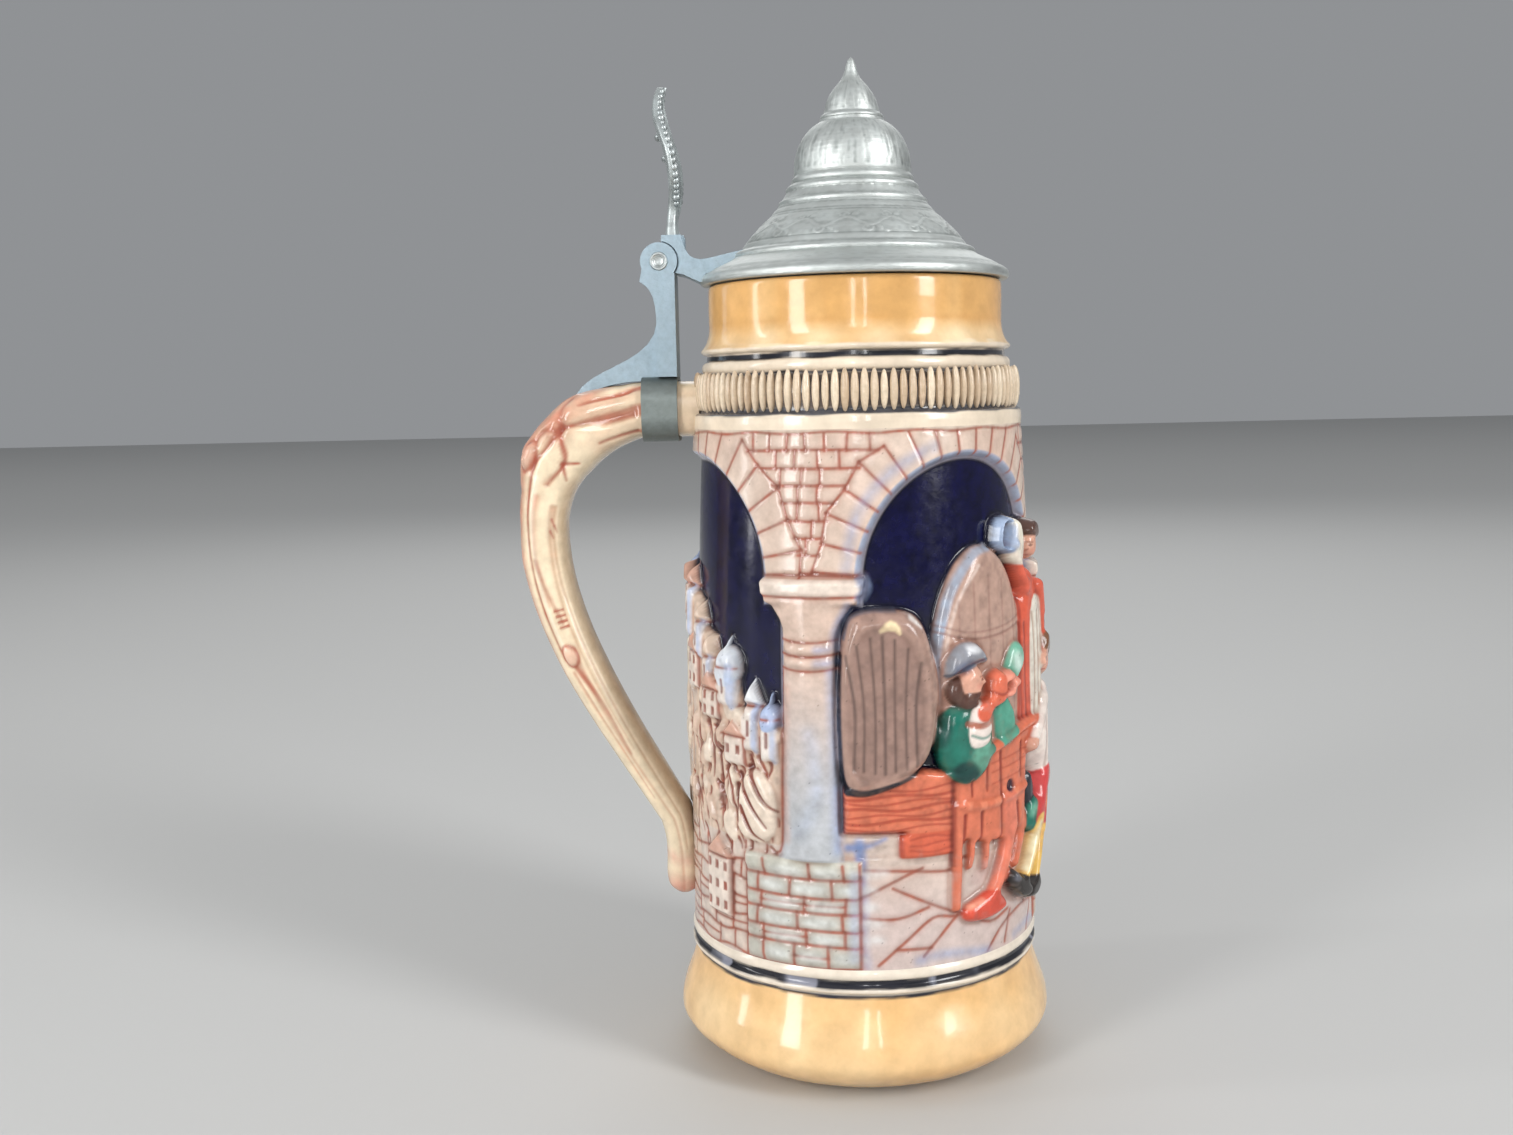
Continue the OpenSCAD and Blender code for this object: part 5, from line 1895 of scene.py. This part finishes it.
    def build(self) -> bpy.types.Object:
        """Build the handle.

        Returns:
            The handle.
        """
        mid, s = self.line()
        rows = len(mid)
        way = np.gradient(mid, axis=0)
        way /= np.linalg.norm(way, axis=1, keepdims=True)
        at = [0, 1, 1.55, 2, 2.5, 2.75, 3, 3.4, 3.8, 3.93, 4]
        thick = np.interp(s, at, [7, 7, 8, 6.4, 5.6, 4.9, 4.4, 4.2, 4.7, 4.1, 2.8])
        wide = 9 - np.interp(s, [0, 1, 1.5, 2, 3, 3.8, 4], [0, 0, -0.3, 0.8, 1.8, 3, 5])
        left = self.run[-1] - self.run
        close = np.sqrt(np.clip(1 - (1 - np.clip(left / 3.2, 0, 1)) ** 2, 0.02, 1))
        thick, wide = (soften(size[:, None], 3, False)[:, 0] * close for size in (thick, wide))
        power = np.interp(s, [1, 2, 3], [3.0, 2.5, 2.2])[:, None]
        turn = (np.arange(self.cols) / self.cols * 2 - 1) * math.pi
        sin, cos = np.sin(turn)[None], np.cos(turn)[None]
        across = np.sign(sin) * np.abs(sin) ** (2 / power)
        out = np.sign(cos) * np.abs(cos) ** (2 / power)
        colour = np.broadcast_to(linear(self.cream), (rows, self.cols, 3)).copy()
        uneven = 0.07 * cloud(rows, self.cols, 30, 20, 71) + 0.04 * cloud(rows, self.cols, 6, 6, 72)
        colour *= (1 + uneven)[..., None]
        board = Panel(turn / math.pi * self.half_round, self.run, np.zeros((rows, self.cols)), colour, 73)
        self.draw(board)
        held = ease((self.run - 14.6) / 2.0) * close
        relief = soften(board.height, 1) * held[:, None]
        # hollows of the relief darker and redder: glaze pooling and painted shade
        hollow = np.clip((soften(relief, 3) - relief) / 0.25, 0, 1)[..., None]
        paint = board.paint * (1 - 0.5 * hollow) + board.paint * np.array([0.68, 0.42, 0.34]) * 0.5 * hollow
        n = thick[:, None] * out + relief * cos
        y = wide[:, None] * across + relief * sin
        x = mid[:, :1] + n * way[:, 1:]
        z = mid[:, 1:] - n * way[:, :1]
        return Skin(np.stack([x, y, z], -1), paint).mesh("handle_branch", 60)


# ------------------------------------------------------------------ the pewter


@dataclass
class SpunLid:
    """The spun lid with its turned rings and engraved band, the bulb and the finial."""

    tint: str = "#c8cdcb"
    dark: str = "#9da3a1"
    repeats: int = 14

    def _dress(self, rows: int, cols: int, relief: np.ndarray, seed: int) -> np.ndarray:
        """Colour pewter: worn bright on top, dull in the hollows.

        Args:
            rows: Number of rows.
            cols: Number of columns.
            relief: Height of the surface, rows by columns.
            seed: Seed of the random values.

        Returns:
            The colours, rows by columns by 3.
        """
        uneven = 0.05 * cloud(rows, cols, 14, 40, seed) + 0.02 * cloud(rows, cols, 4, 5, seed + 1)
        base = linear(self.tint) * (1 + uneven)[..., None]
        hollow = np.clip((soften(relief, 3) - relief) / 0.12, 0, 1)[..., None]
        return mixed(base, linear(self.dark), hollow)

    def lid(self) -> bpy.types.Object:
        """Build the flared lid.

        Returns:
            The lid.
        """
        points = trace(
            (29.6, 195.5),
            (38.2, 195.5), (38.6, 195.9), (38.65, 196.6), (38.5, 197.1),
            ((38.2, 197.6), (37.9, 197.9), (37.2, 198.3), 3), (36.9, 198.25), (36.6, 198.5),
            ((35.0, 199.8), (32.4, 200.4), (30.3, 201.9), 8),
            ((30.6, 202.6), (30.1, 203.3), (29.0, 203.5), 5),
            ((28.3, 203.6), (28.0, 204.2), (27.5, 204.9), 3),
            ((25.6, 208.0), (21.2, 211.0), (18.5, 214.6), 12),
            ((18.7, 215.1), (18.5, 215.7), (17.9, 215.9), 3),
            ((17.3, 216.4), (17.0, 216.9), (16.5, 217.8), 3),
            ((16.8, 218.4), (16.6, 219.2), (15.9, 219.4), 4), (15.5, 219.8), (11.7, 219.8),
        )
        outer = resample(points, 0.34)
        inside = trace(
            (11.7, 219.8), ((13.1, 210.8), (20.6, 207.5), (23.0, 202.9), 10), (28.9, 198.5), (29.6, 195.5)
        )
        inner = resample(inside, 1.2)[1:-1]
        profile = np.concatenate([outer, inner])
        cols, rows = 490, len(profile)
        relief = np.zeros((rows, cols))
        run = np.concatenate([[0], np.cumsum(np.hypot(*np.diff(outer, axis=0).T))])
        band = (outer[:, 1] > 204.8) & (outer[:, 1] < 214.6)
        low, high = run[band][0], run[band][-1]
        per, tall = cols // self.repeats, int(band.sum())
        across, up = np.arange(per) * 10.0 / per, np.linspace(0, high - low, tall)
        tile = Panel(across, up, np.zeros((tall, per)), np.zeros((tall, per, 3)), 5)
        self._scroll(tile, high - low)
        first = int(np.argmax(band))
        relief[first : first + tall] = 0.6 * np.tile(tile.height, (1, self.repeats))
        spin = 0.05 * np.random.default_rng(4).normal(size=(len(outer), 1)) * (outer[:, 1:] > 196)
        worn = 0.035 * cloud(len(outer), cols, 3, 3, 82) * (outer[:, 1:] > 196)
        relief[: len(outer)] += soften(np.repeat(spin, cols, 1), 1) + worn
        dents = 0.12 * cloud(rows, cols, 30, 60, 81) * (profile[:, 1:] > 199)
        paint = self._dress(rows, cols, relief, 83)
        return Skin(turned(profile, cols, relief + dents), paint, loop_rows=True).mesh("lid_shell", 45)

    def _scroll(self, p: Panel, tall: float) -> None:
        """Engrave one length of the leaf scroll: a running stem with curled leaves and dots.

        Args:
            p: The panel to draw on, one repeat wide.
            tall: Height of the band.
        """
        mid = tall * 0.36
        stem = tuple((x, mid + 1.5 * math.sin(2 * math.pi * x / 10)) for x in np.linspace(-1, 11, 17))
        p.form(Stroke(stem, 0.8), 0.22, 0.35, "#000000")
        for x, z, way in ((1.6, mid + 2.5, 1), (6.6, mid - 2.5, -1)):
            reach = [1.35 * (1 - k / 12) for k in range(10)]
            curl = tuple(
                (x + r * math.cos(k * 0.62), z + way * r * math.sin(k * 0.62))
                for k, r in enumerate(reach)
            )
            p.form(Stroke(curl, 0.62), 0.2, 0.3, "#000000")
            leaf = tuple((x + a, z + b * way) for a, b in ((1.6, -0.2), (3.0, 1.1), (4.2, 0.4), (2.8, -0.7)))
            p.form(Blob(leaf, 2), 0.26, 0.5, "#000000")
            p.carve(Stroke(((x + 1.8, z), (x + 3.8, z + 0.4 * way)), 0.25), 0.12)
        for x in (0.6, 5.6):
            p.form(Oval(x, mid + (3.6 if x > 3 else -3.6), 0.5, 0.5), 0.22, 0.4, "#000000")
        for z in (tall * 0.05, tall * 0.72, tall * 0.79, tall * 0.95):
            p.carve(Stroke(((-1, z), (11, z)), 0.35), 0.22)

    def _fluted(
        self, name: str, profile: np.ndarray, cols: int, depth: float, low: float, high: float, seed: int
    ) -> bpy.types.Object:
        """Turn a solid with upright brushed flutes.

        Args:
            name: Name of the piece.
            profile: Its outline from axis to axis.
            cols: Columns round it.
            depth: Depth of the flutes.
            low: Where the flutes begin.
            high: Where they end.
            seed: Seed of their unevenness.

        Returns:
            The piece.
        """
        rows = len(profile)
        on = (ease((profile[:, 1] - low) / 0.8) * ease((high - profile[:, 1]) / 0.8))[:, None]
        outer = (np.arange(rows) >= np.argmax(profile[:, 0]))[:, None]
        cut = cloud(rows, cols, 26, 6, seed) * 0.6 + cloud(rows, cols, 14, 3, seed + 1) * 0.4
        relief = -depth * np.abs(cut) * on * outer + 0.03 * cloud(rows, cols, 3, 4, seed + 2) * outer
        small = np.clip(profile[:, :1] / 3.0, 0, 1)
        paint = self._dress(rows, cols, relief * 1.6, seed + 3)
        return Skin(turned(profile, cols, relief * small), paint).mesh(name, 45)

    def bulb(self) -> bpy.types.Object:
        """Build the bulb.

        Returns:
            The bulb.
        """
        points = trace(
            (0.02, 232.6),
            ((8.9, 232.2), (13.0, 229.2), (12.4, 221.3), 8), (12.4, 219.8), (15.0, 219.8),
            ((15.5, 220.2), (15.4, 221.1), (14.8, 221.5), 4), (14.5, 221.9), (14.65, 222.4),
            ((14.8, 228.6), (12.2, 232.6), (8.6, 234.6), 12), (8.2, 234.8), (8.0, 235.5), (0.02, 235.5),
        )
        return self._fluted("lid_bulb_turned", resample(points, 0.35), 360, 0.17, 222.6, 234.6, 101)

    def finial(self) -> bpy.types.Object:
        """Build the finial.

        Returns:
            The finial.
        """
        points = trace(
            (0.02, 235.5),
            (7.7, 235.5), ((8.1, 235.8), (7.9, 236.4), (7.3, 236.7), 4), (7.0, 237.0),
            ((6.4, 240.6), (5.2, 242.2), (3.3, 244.4), 9), ((2.1, 245.6), (1.9, 246.4), (1.6, 247.2), 4),
            ((1.3, 248.6), (0.9, 250.3), (0.02, 250.6), 5),
        )
        return self._fluted("lid_finial_turned", resample(points, 0.3), 240, 0.13, 237.2, 245.0, 111)


@dataclass
class Thumblift:
    """The cast thumb lever: a broad shell on an S-shaped stem, with a beaded edge."""

    tint: str = "#bcc3c3"
    dark: str = "#8a9293"
    low: float = 207.9
    high: float = 244.4
    rows: int = 120
    cols: int = 96

    def _levels(self) -> tuple[np.ndarray, np.ndarray, np.ndarray]:
        """Give the heights, the middle line's x and half the width at each.

        Returns:
            The heights, the x of the middle line and half the width.
        """
        mid = trace(
            (-45.4, 207.9),
            ((-45.6, 215.9), (-43.2, 218.9), (-45.4, 228.0), 16),
            ((-47.6, 235.3), (-49.6, 238.9), (-47.3, 244.4), 16),
        )
        half = trace(
            (4.0, self.low), (4.0, 209.9),
            ((1.8, 215.2), (4.4, 216.7), (9.24, 221.0), 12),
            ((12.8, 226.2), (11.0, 232.0), (6.6, 236.4), 12),
            ((4.4, 239.3), (2.6, 243.9), (0.9, self.high), 10),
        )
        z = np.linspace(self.low, self.high, self.rows)
        return z, *(np.interp(z, [q[1] for q in line], [q[0] for q in line]) for line in (mid, half))

    def build(self, repeat: Repeat, finish: bpy.types.Material) -> list[bpy.types.Object]:
        """Build the lever and its beads.

        Args:
            repeat: The node tree that sets copies on a path.
            finish: The material.

        Returns:
            The lever, then its two rows of beads.
        """
        z, mid, half = self._levels()
        turn = np.arange(self.cols) / self.cols * 2 * math.pi - math.pi
        u = np.sign(np.sin(turn)) * np.abs(np.sin(turn)) ** 0.9
        front = np.cos(turn)
        side = np.sign(front) * np.abs(front) ** 0.55
        v = (z - self.low) / (self.high - self.low)
        thick = 1.5 * np.interp(
            v, [0, 0.1, 0.35, 0.8, 1], [1.2, 0.95, 0.95, 0.9, 0.62]
        )[:, None] * side[None]
        shell = ease((v - 0.3) / 0.12) * ease((0.97 - v) / 0.2)
        fan = np.cos(7 * math.pi * u)[None] * shell[:, None]
        ridge = np.exp(-((u / 0.16) ** 2))[None] * ease((v - 0.1) / 0.1)[:, None]
        relief = np.where(front > 0, 0.26 * fan + 0.5 * ridge, 0.10 * fan) * np.abs(side)
        x = mid[:, None] + thick + np.where(front > 0, relief, -relief)
        y = half[:, None] * u[None]
        place = np.stack([x, y, np.repeat(z[:, None], self.cols, 1)], -1)
        hollow = np.clip((soften(relief, 2) - relief) / 0.14, 0, 1)[..., None]
        base = linear(self.tint) * (1 + 0.07 * cloud(self.rows, self.cols, 8, 8, 131))[..., None]
        pieces = [Skin(place, mixed(base, linear(self.dark), hollow)).mesh("thumblift_lever", 50)]
        for s, label in ((-1, "near"), (1, "far")):
            path = [(mid[i] + 0.8, s * (half[i] - 0.75), z[i]) for i in range(26, self.rows - 4)]
            pieces.append(
                repeat.along(
                    f"thumblift_beads_{label}", path, False, finish, Count=20, Length=0.95 * MM,
                    Width=0.9 * MM, Depth=0.85 * MM, Unevenness=0.3, Seed=5
                )
            )
        return pieces

    def knobs(self, repeat: Repeat, finish: bpy.types.Material) -> bpy.types.Object:
        """Build the two small knobs on the lever's back.

        Args:
            repeat: The node tree that sets copies on a path.
            finish: The material.

        Returns:
            The knobs.
        """
        z, mid, _ = self._levels()
        path = [(float(np.interp(h, z, mid)) - 1.55, 0.0, h) for h in (227.2, 232.4)]
        return repeat.along("thumblift_knobs", path, False, finish, Count=2, Length=1.0 * MM, Width=0.9 * MM,
                            Depth=2.2 * MM, Unevenness=0.05, Seed=2)


@dataclass
class PinCollars:
    """The turned collars at the hinge pin's ends."""

    x: float = -48.6
    z: float = 201.5
    y: float = 6.9

    def build(self) -> bpy.types.Object:
        """Build both collars as one piece.

        Returns:
            The collars.
        """
        profile = np.array(
            [
                (0.02, 0.0), (0.9, 0.05), (1.15, 0.22), (1.3, 0.05), (1.45, 0.12), (1.75, 0.42),
                (2.05, 0.42), (2.3, 0.1), (2.32, -0.25), (0.02, -0.25)
            ]
        )
        cols = 40
        angle = np.arange(cols) * 2 * math.pi / cols
        verts, faces = [], []
        for s in (-1, 1):
            base = len(verts)
            for r, h in profile:
                y = s * (self.y + h)
                ring = [(self.x + r * math.cos(a), y, self.z + r * math.sin(a)) for a in angle]
                verts += [tuple(v * MM for v in q) for q in ring]
            for i in range(len(profile) - 1):
                for j in range(cols):
                    k = (j + 1) % cols
                    low, high = base + i * cols, base + (i + 1) * cols
                    quad = [low + j, low + k, high + k, high + j]
                    faces.append(quad if s > 0 else quad[::-1])
            last = base + (len(profile) - 1) * cols
            inner, outer = list(range(base, base + cols)), list(range(last, last + cols))
            faces += [inner[::-1], outer] if s > 0 else [inner, outer[::-1]]
        mesh = bpy.data.meshes.new("pin_collars")
        mesh.from_pydata(verts, [], faces)
        mesh.validate()
        mesh.polygons.foreach_set("use_smooth", np.ones(len(mesh.polygons), bool))
        mesh.set_sharp_from_angle(angle=math.radians(45))
        return linked("pin_collars", mesh)


# ------------------------------------------------------------------ finishes


MIX_A, MIX_B, MIX_OUT = 6, 7, 2  # the colour sockets of a Mix node


class Source(Enum):
    """Where a finish takes its colour from."""

    PAINT = "paint"
    TONE = "tone"
    TWO_TINTS = "tints"


@dataclass(frozen=True)
class Finish:
    """A surface: its colours, its gloss, and the grain of its surface."""

    name: str
    source: Source
    tint: str = "#ffffff"
    second: str = "#ffffff"
    metal: float = 0.0
    rough: tuple[float, float] = (0.12, 0.22)
    coat: float = 0.0
    grain: float = 420.0
    bump: float = 0.08
    bump_scale: float = 600.0
    turned: bool = False
    shade: float = 0.2

    def material(self) -> bpy.types.Material:
        """Build the node material.

        Returns:
            The material.
        """
        mat = bpy.data.materials.new(self.name)
        mat.use_nodes = True
        nodes, link = mat.node_tree.nodes, mat.node_tree.links.new
        nodes.clear()
        out = nodes.new("ShaderNodeOutputMaterial")
        skin = nodes.new("ShaderNodeBsdfPrincipled")
        link(skin.outputs["BSDF"], out.inputs["Surface"])
        skin.inputs["Metallic"].default_value = self.metal
        skin.inputs["Coat Weight"].default_value = self.coat
        skin.inputs["Coat Roughness"].default_value = 0.05
        skin.inputs["IOR"].default_value = 1.5 if self.metal else 1.4
        place = nodes.new("ShaderNodeTexCoord")
        cloudy = self._noise(nodes, link, place, self.grain, 4.0, 0.6)
        fine = self._noise(nodes, link, place, self.bump_scale, 3.0, 0.55)
        mix = nodes.new("ShaderNodeMix")
        mix.data_type, mix.blend_type = "RGBA", "MULTIPLY"
        mix.inputs["Factor"].default_value = 1.0
        shade = nodes.new("ShaderNodeValToRGB")
        shade.color_ramp.elements[0].position, shade.color_ramp.elements[1].position = 0.3, 0.72
        shade.color_ramp.elements[0].color = (1 - self.shade, 0.99 - self.shade, 0.98 - self.shade, 1)
        shade.color_ramp.elements[1].color = (1.0, 1.0, 1.0, 1)
        link(cloudy.outputs["Fac"], shade.inputs["Fac"])
        link(shade.outputs["Color"], mix.inputs[MIX_B])
        if self.source is Source.PAINT:
            paint = nodes.new("ShaderNodeAttribute")
            paint.attribute_name = "paint"
            link(paint.outputs["Color"], mix.inputs[MIX_A])
        else:
            blend = nodes.new("ShaderNodeMix")
            blend.data_type = "RGBA"
            blend.inputs[MIX_A].default_value = rgba(self.tint)
            blend.inputs[MIX_B].default_value = rgba(self.second)
            if self.source is Source.TONE:
                tone = nodes.new("ShaderNodeAttribute")
                tone.attribute_name = "tone"
                link(tone.outputs["Fac"], blend.inputs["Factor"])
            else:
                link(
                    self._noise(nodes, link, place, self.grain * 0.3, 5.0, 0.65).outputs["Fac"],
                    blend.inputs["Factor"]
                )
            link(blend.outputs[MIX_OUT], mix.inputs[MIX_A])
        link(mix.outputs[MIX_OUT], skin.inputs["Base Color"])
        spread = nodes.new("ShaderNodeMapRange")
        spread.inputs["From Min"].default_value, spread.inputs["From Max"].default_value = 0.3, 0.7
        spread.inputs["To Min"].default_value, spread.inputs["To Max"].default_value = self.rough
        link(cloudy.outputs["Fac"], spread.inputs["Value"])
        link(spread.outputs["Result"], skin.inputs["Roughness"])
        raised = nodes.new("ShaderNodeBump")
        raised.inputs["Strength"].default_value = self.bump
        raised.inputs["Distance"].default_value = 0.0004
        link(fine.outputs["Fac"], raised.inputs["Height"])
        if self.turned:
            lines = self._rings(nodes, link, place)
            under = nodes.new("ShaderNodeBump")
            under.inputs["Strength"].default_value = 0.22
            under.inputs["Distance"].default_value = 0.0002
            link(lines.outputs["Fac"], under.inputs["Height"])
            link(under.outputs["Normal"], raised.inputs["Normal"])
        link(raised.outputs["Normal"], skin.inputs["Normal"])
        return mat

    @staticmethod
    def _noise(
        nodes: bpy.types.Nodes, link: Callable, place: bpy.types.Node, scale: float, detail: float,
        rough: float
    ) -> bpy.types.Node:
        """Add a noise texture on the object's own coordinates.

        Args:
            nodes: The nodes of the material.
            link: What links two sockets.
            place: The texture coordinate node.
            scale: Scale of the noise.
            detail: Its detail.
            rough: Its roughness.

        Returns:
            The noise node.
        """
        noise = nodes.new("ShaderNodeTexNoise")
        noise.inputs["Scale"].default_value = scale
        noise.inputs["Detail"].default_value = detail
        noise.inputs["Roughness"].default_value = rough
        link(place.outputs["Object"], noise.inputs["Vector"])
        return noise

    @staticmethod
    def _rings(nodes: bpy.types.Nodes, link: Callable, place: bpy.types.Node) -> bpy.types.Node:
        """Add the fine lines that a lathe tool leaves round the axis.

        Args:
            nodes: The nodes of the material.
            link: What links two sockets.
            place: The texture coordinate node.

        Returns:
            The noise node that holds the lines.
        """
        split = nodes.new("ShaderNodeSeparateXYZ")
        join = nodes.new("ShaderNodeCombineXYZ")
        flat = nodes.new("ShaderNodeCombineXYZ")
        reach = nodes.new("ShaderNodeVectorMath")
        reach.operation = "LENGTH"
        link(place.outputs["Object"], split.inputs["Vector"])
        link(split.outputs["X"], flat.inputs["X"])
        link(split.outputs["Y"], flat.inputs["Y"])
        link(flat.outputs["Vector"], reach.inputs[0])
        link(reach.outputs["Value"], join.inputs["X"])
        link(split.outputs["Z"], join.inputs["Z"])
        noise = nodes.new("ShaderNodeTexNoise")
        noise.inputs["Scale"].default_value = 2600.0
        noise.inputs["Detail"].default_value = 2.0
        link(join.outputs["Vector"], noise.inputs["Vector"])
        return noise


FINISHES = {
    f.name: f for f in (
        Finish(
            "painted_glaze", Source.PAINT, rough=(0.12, 0.24), coat=0.12, grain=380, bump=0.10,
            bump_scale=420
        ),
        Finish(
            "banded_glaze", Source.PAINT, rough=(0.11, 0.24), coat=0.3, grain=160, bump=0.22, bump_scale=130
        ),
        Finish(
            "handle_glaze", Source.PAINT, rough=(0.12, 0.24), coat=0.35, grain=300, bump=0.10, bump_scale=400
        ),
        Finish(
            "rib_glaze", Source.TONE, "#e6d4ba", "#c3a98c", rough=(0.14, 0.28), coat=0.4, grain=900,
            bump=0.1, bump_scale=900
        ),
        Finish(
            "spun_pewter", Source.PAINT, metal=1.0, rough=(0.46, 0.60), grain=260, bump=0.10,
            bump_scale=1500, turned=True, shade=0.1
        ),
        Finish(
            "cast_pewter", Source.TWO_TINTS, "#b2c3cd", "#9db0bb", metal=1.0, rough=(0.44, 0.58), grain=700,
            bump=0.22, bump_scale=1400
        ),
        Finish(
            "bead_pewter", Source.TONE, "#c6cccc", "#abb2b3", metal=1.0, rough=(0.38, 0.52), grain=900,
            bump=0.1, bump_scale=1500
        ),
        Finish(
            "strap_pewter", Source.TWO_TINTS, "#7f8886", "#99a19e", metal=1.0, rough=(0.44, 0.58), grain=600,
            bump=0.2, bump_scale=1100
        ),
        Finish(
            "pin_steel", Source.TWO_TINTS, "#8b9194", "#a0a6a8", metal=1.0, rough=(0.28, 0.42), grain=900,
            bump=0.1, bump_scale=1500
        )
    )
}


# ------------------------------------------------------------------ the studio


@dataclass(frozen=True)
class SoftLight:
    """A soft rectangular light that faces the mug, with its place in degrees and its size in metres."""

    name: str
    azimuth: float
    rise: float
    far: float
    wide: float
    tall: float
    power: float

    def hang(self) -> None:
        """Put the light in the scene, turned to the middle of the mug."""
        data = bpy.data.lights.new(self.name, "AREA")
        data.shape, data.size, data.size_y, data.energy = "RECTANGLE", self.wide, self.tall, self.power
        obj = bpy.data.objects.new(self.name, data)
        a, e = math.radians(self.azimuth - 3), math.radians(self.rise)
        back = Vector((math.sin(a) * math.cos(e), -math.cos(a) * math.cos(e), math.sin(e)))
        obj.location = Vector((0, 0, 0.13)) + back * self.far
        obj.rotation_mode = "QUATERNION"
        obj.rotation_quaternion = (-back).to_track_quat("-Z", "Y")
        bpy.context.scene.collection.objects.link(obj)


LIGHTS = (
    SoftLight("window_left", azimuth=-43, rise=14, far=1.2, wide=0.26, tall=0.9, power=8.6),
    SoftLight("window_right", azimuth=56, rise=24, far=1.3, wide=0.30, tall=0.85, power=12.0),
    SoftLight("window_front", azimuth=0, rise=15, far=1.3, wide=0.07, tall=0.5, power=1.5),
    SoftLight("window_front_right", azimuth=9, rise=15, far=1.3, wide=0.05, tall=0.5, power=1.1),
    SoftLight("window_far_left", azimuth=-80, rise=16, far=1.2, wide=0.10, tall=0.8, power=2.4),
    SoftLight("fill_back", azimuth=180, rise=35, far=1.5, wide=1.2, tall=0.8, power=5.0),
    SoftLight("ceiling", azimuth=0, rise=89.9, far=3.1, wide=7.0, tall=7.0, power=54.0),
)


@dataclass
class Studio:
    """A plain pale floor, soft lights and the camera."""

    camera_at: tuple[float, float, float] = (-20.13, -384.15, 168.91)
    right: tuple[float, float, float] = (0.99967, 0.01304, -0.02204)
    up: tuple[float, float, float] = (0.02037, 0.11677, 0.99295)
    ahead: tuple[float, float, float] = (-0.01552, 0.99307, -0.11647)
    lens: float = 35.69

    def camera(self) -> None:
        """Set up the camera."""
        data = bpy.data.cameras.new("view")
        data.lens, data.sensor_width = self.lens, 36.0
        data.clip_start, data.clip_end = 0.01, 50
        cam = bpy.data.objects.new("view", data)
        turn = Matrix((self.right, self.up, tuple(-v for v in self.ahead))).transposed()
        cam.matrix_world = Matrix.Translation(Vector(self.camera_at) * MM) @ turn.to_4x4()
        bpy.context.scene.collection.objects.link(cam)
        bpy.context.scene.camera = cam

    def floor(self) -> None:
        """Lay the floor."""
        verts = [(-6, -6, 0), (6, -6, 0), (6, 6, 0), (-6, 6, 0)]
        mesh = bpy.data.meshes.new("floor")
        mesh.from_pydata(verts, [], [(0, 1, 2, 3)])
        floor = linked("floor", mesh)
        mat = bpy.data.materials.new("floor")
        mat.use_nodes = True
        skin = mat.node_tree.nodes["Principled BSDF"]
        skin.inputs["Base Color"].default_value = (0.5, 0.5, 0.49, 1)
        skin.inputs["Roughness"].default_value = 0.7
        mesh.materials.append(mat)

    def build(self) -> None:
        """Set the whole studio up."""
        self.camera()
        self.floor()
        for light in LIGHTS:
            light.hang()
        world = bpy.data.worlds.new("studio")
        world.use_nodes = True
        world.node_tree.nodes["Background"].inputs["Color"].default_value = (0.93, 0.96, 1.0, 1)
        world.node_tree.nodes["Background"].inputs["Strength"].default_value = 0.3
        bpy.context.scene.world = world
        bpy.context.scene.view_settings.view_transform = "Standard"


# ------------------------------------------------------------------ putting it together


def dress(obj: bpy.types.Object, mat: bpy.types.Material) -> None:
    """Give an object one material."""
    obj.data.materials.clear()
    obj.data.materials.append(mat)


def seat(obj: bpy.types.Object, body: str, slot: str, *replaced: str) -> None:
    """Let a piece ride on a body, hide the CAD nodes that it stands for, and report it.

    Args:
        obj: The piece.
        body: The CAD body that it rides on.
        slot: The record's material slot, which is not used.
        *replaced: The CAD nodes that it stands for.
    """
    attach(obj, body)
    if replaced:
        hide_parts(*replaced)
    log.info("%s: %d faces on %s", obj.name, len(obj.data.polygons), body)


def main() -> None:
    """Build the stein and its studio, piece by piece."""
    logging.basicConfig(level=logging.INFO, format="%(message)s")
    mats = {name: f.material() for name, f in FINISHES.items()}
    Studio().build()
    repeat = Repeat("beads_on_a_path")
    for piece in ArcadeWall().build():
        dress(piece, mats["painted_glaze"])
        seat(piece, "stein", "painted_ceramic", "mug_body")
    for piece in (MugFoot().build(), MugNeck().build()):
        dress(piece, mats["banded_glaze"])
        seat(piece, "stein", "painted_ceramic", "mug_body")
    seat(RibbedRing().build(repeat, mats["rib_glaze"]), "stein", "painted_ceramic", "mug_body")
    handle = BranchHandle().build()
    dress(handle, mats["handle_glaze"])
    seat(handle, "stein", "handle_ceramic", "handle")
    spun = SpunLid()
    for piece, node in ((spun.lid(), "lid"), (spun.bulb(), "lid_bulb"), (spun.finial(), "lid_finial")):
        dress(piece, mats["spun_pewter"])
        seat(piece, "lid", "pewter", node)
    lift = Thumblift()
    for k, piece in enumerate(lift.build(repeat, mats["bead_pewter"])):
        if k == 0:
            dress(piece, mats["spun_pewter"])
        seat(piece, "lid", "cast_pewter", "thumblift")
    seat(lift.knobs(repeat, mats["bead_pewter"]), "lid", "cast_pewter", "thumblift")
    collars = PinCollars().build()
    dress(collars, mats["bead_pewter"])
    seat(collars, "stein", "cast_pewter")
    for node, name in (
        ("handle_strap", "strap_pewter"), ("hinge_shank", "cast_pewter"), ("hinge_pin", "pin_steel"),
        ("pin_plugs", "cast_pewter"), ("lid_arm", "cast_pewter"), ("centring_ring", "cast_pewter")
    ):
        dress(frame["nodes"][node], mats[name])


if __name__ == "__main__":
    main()
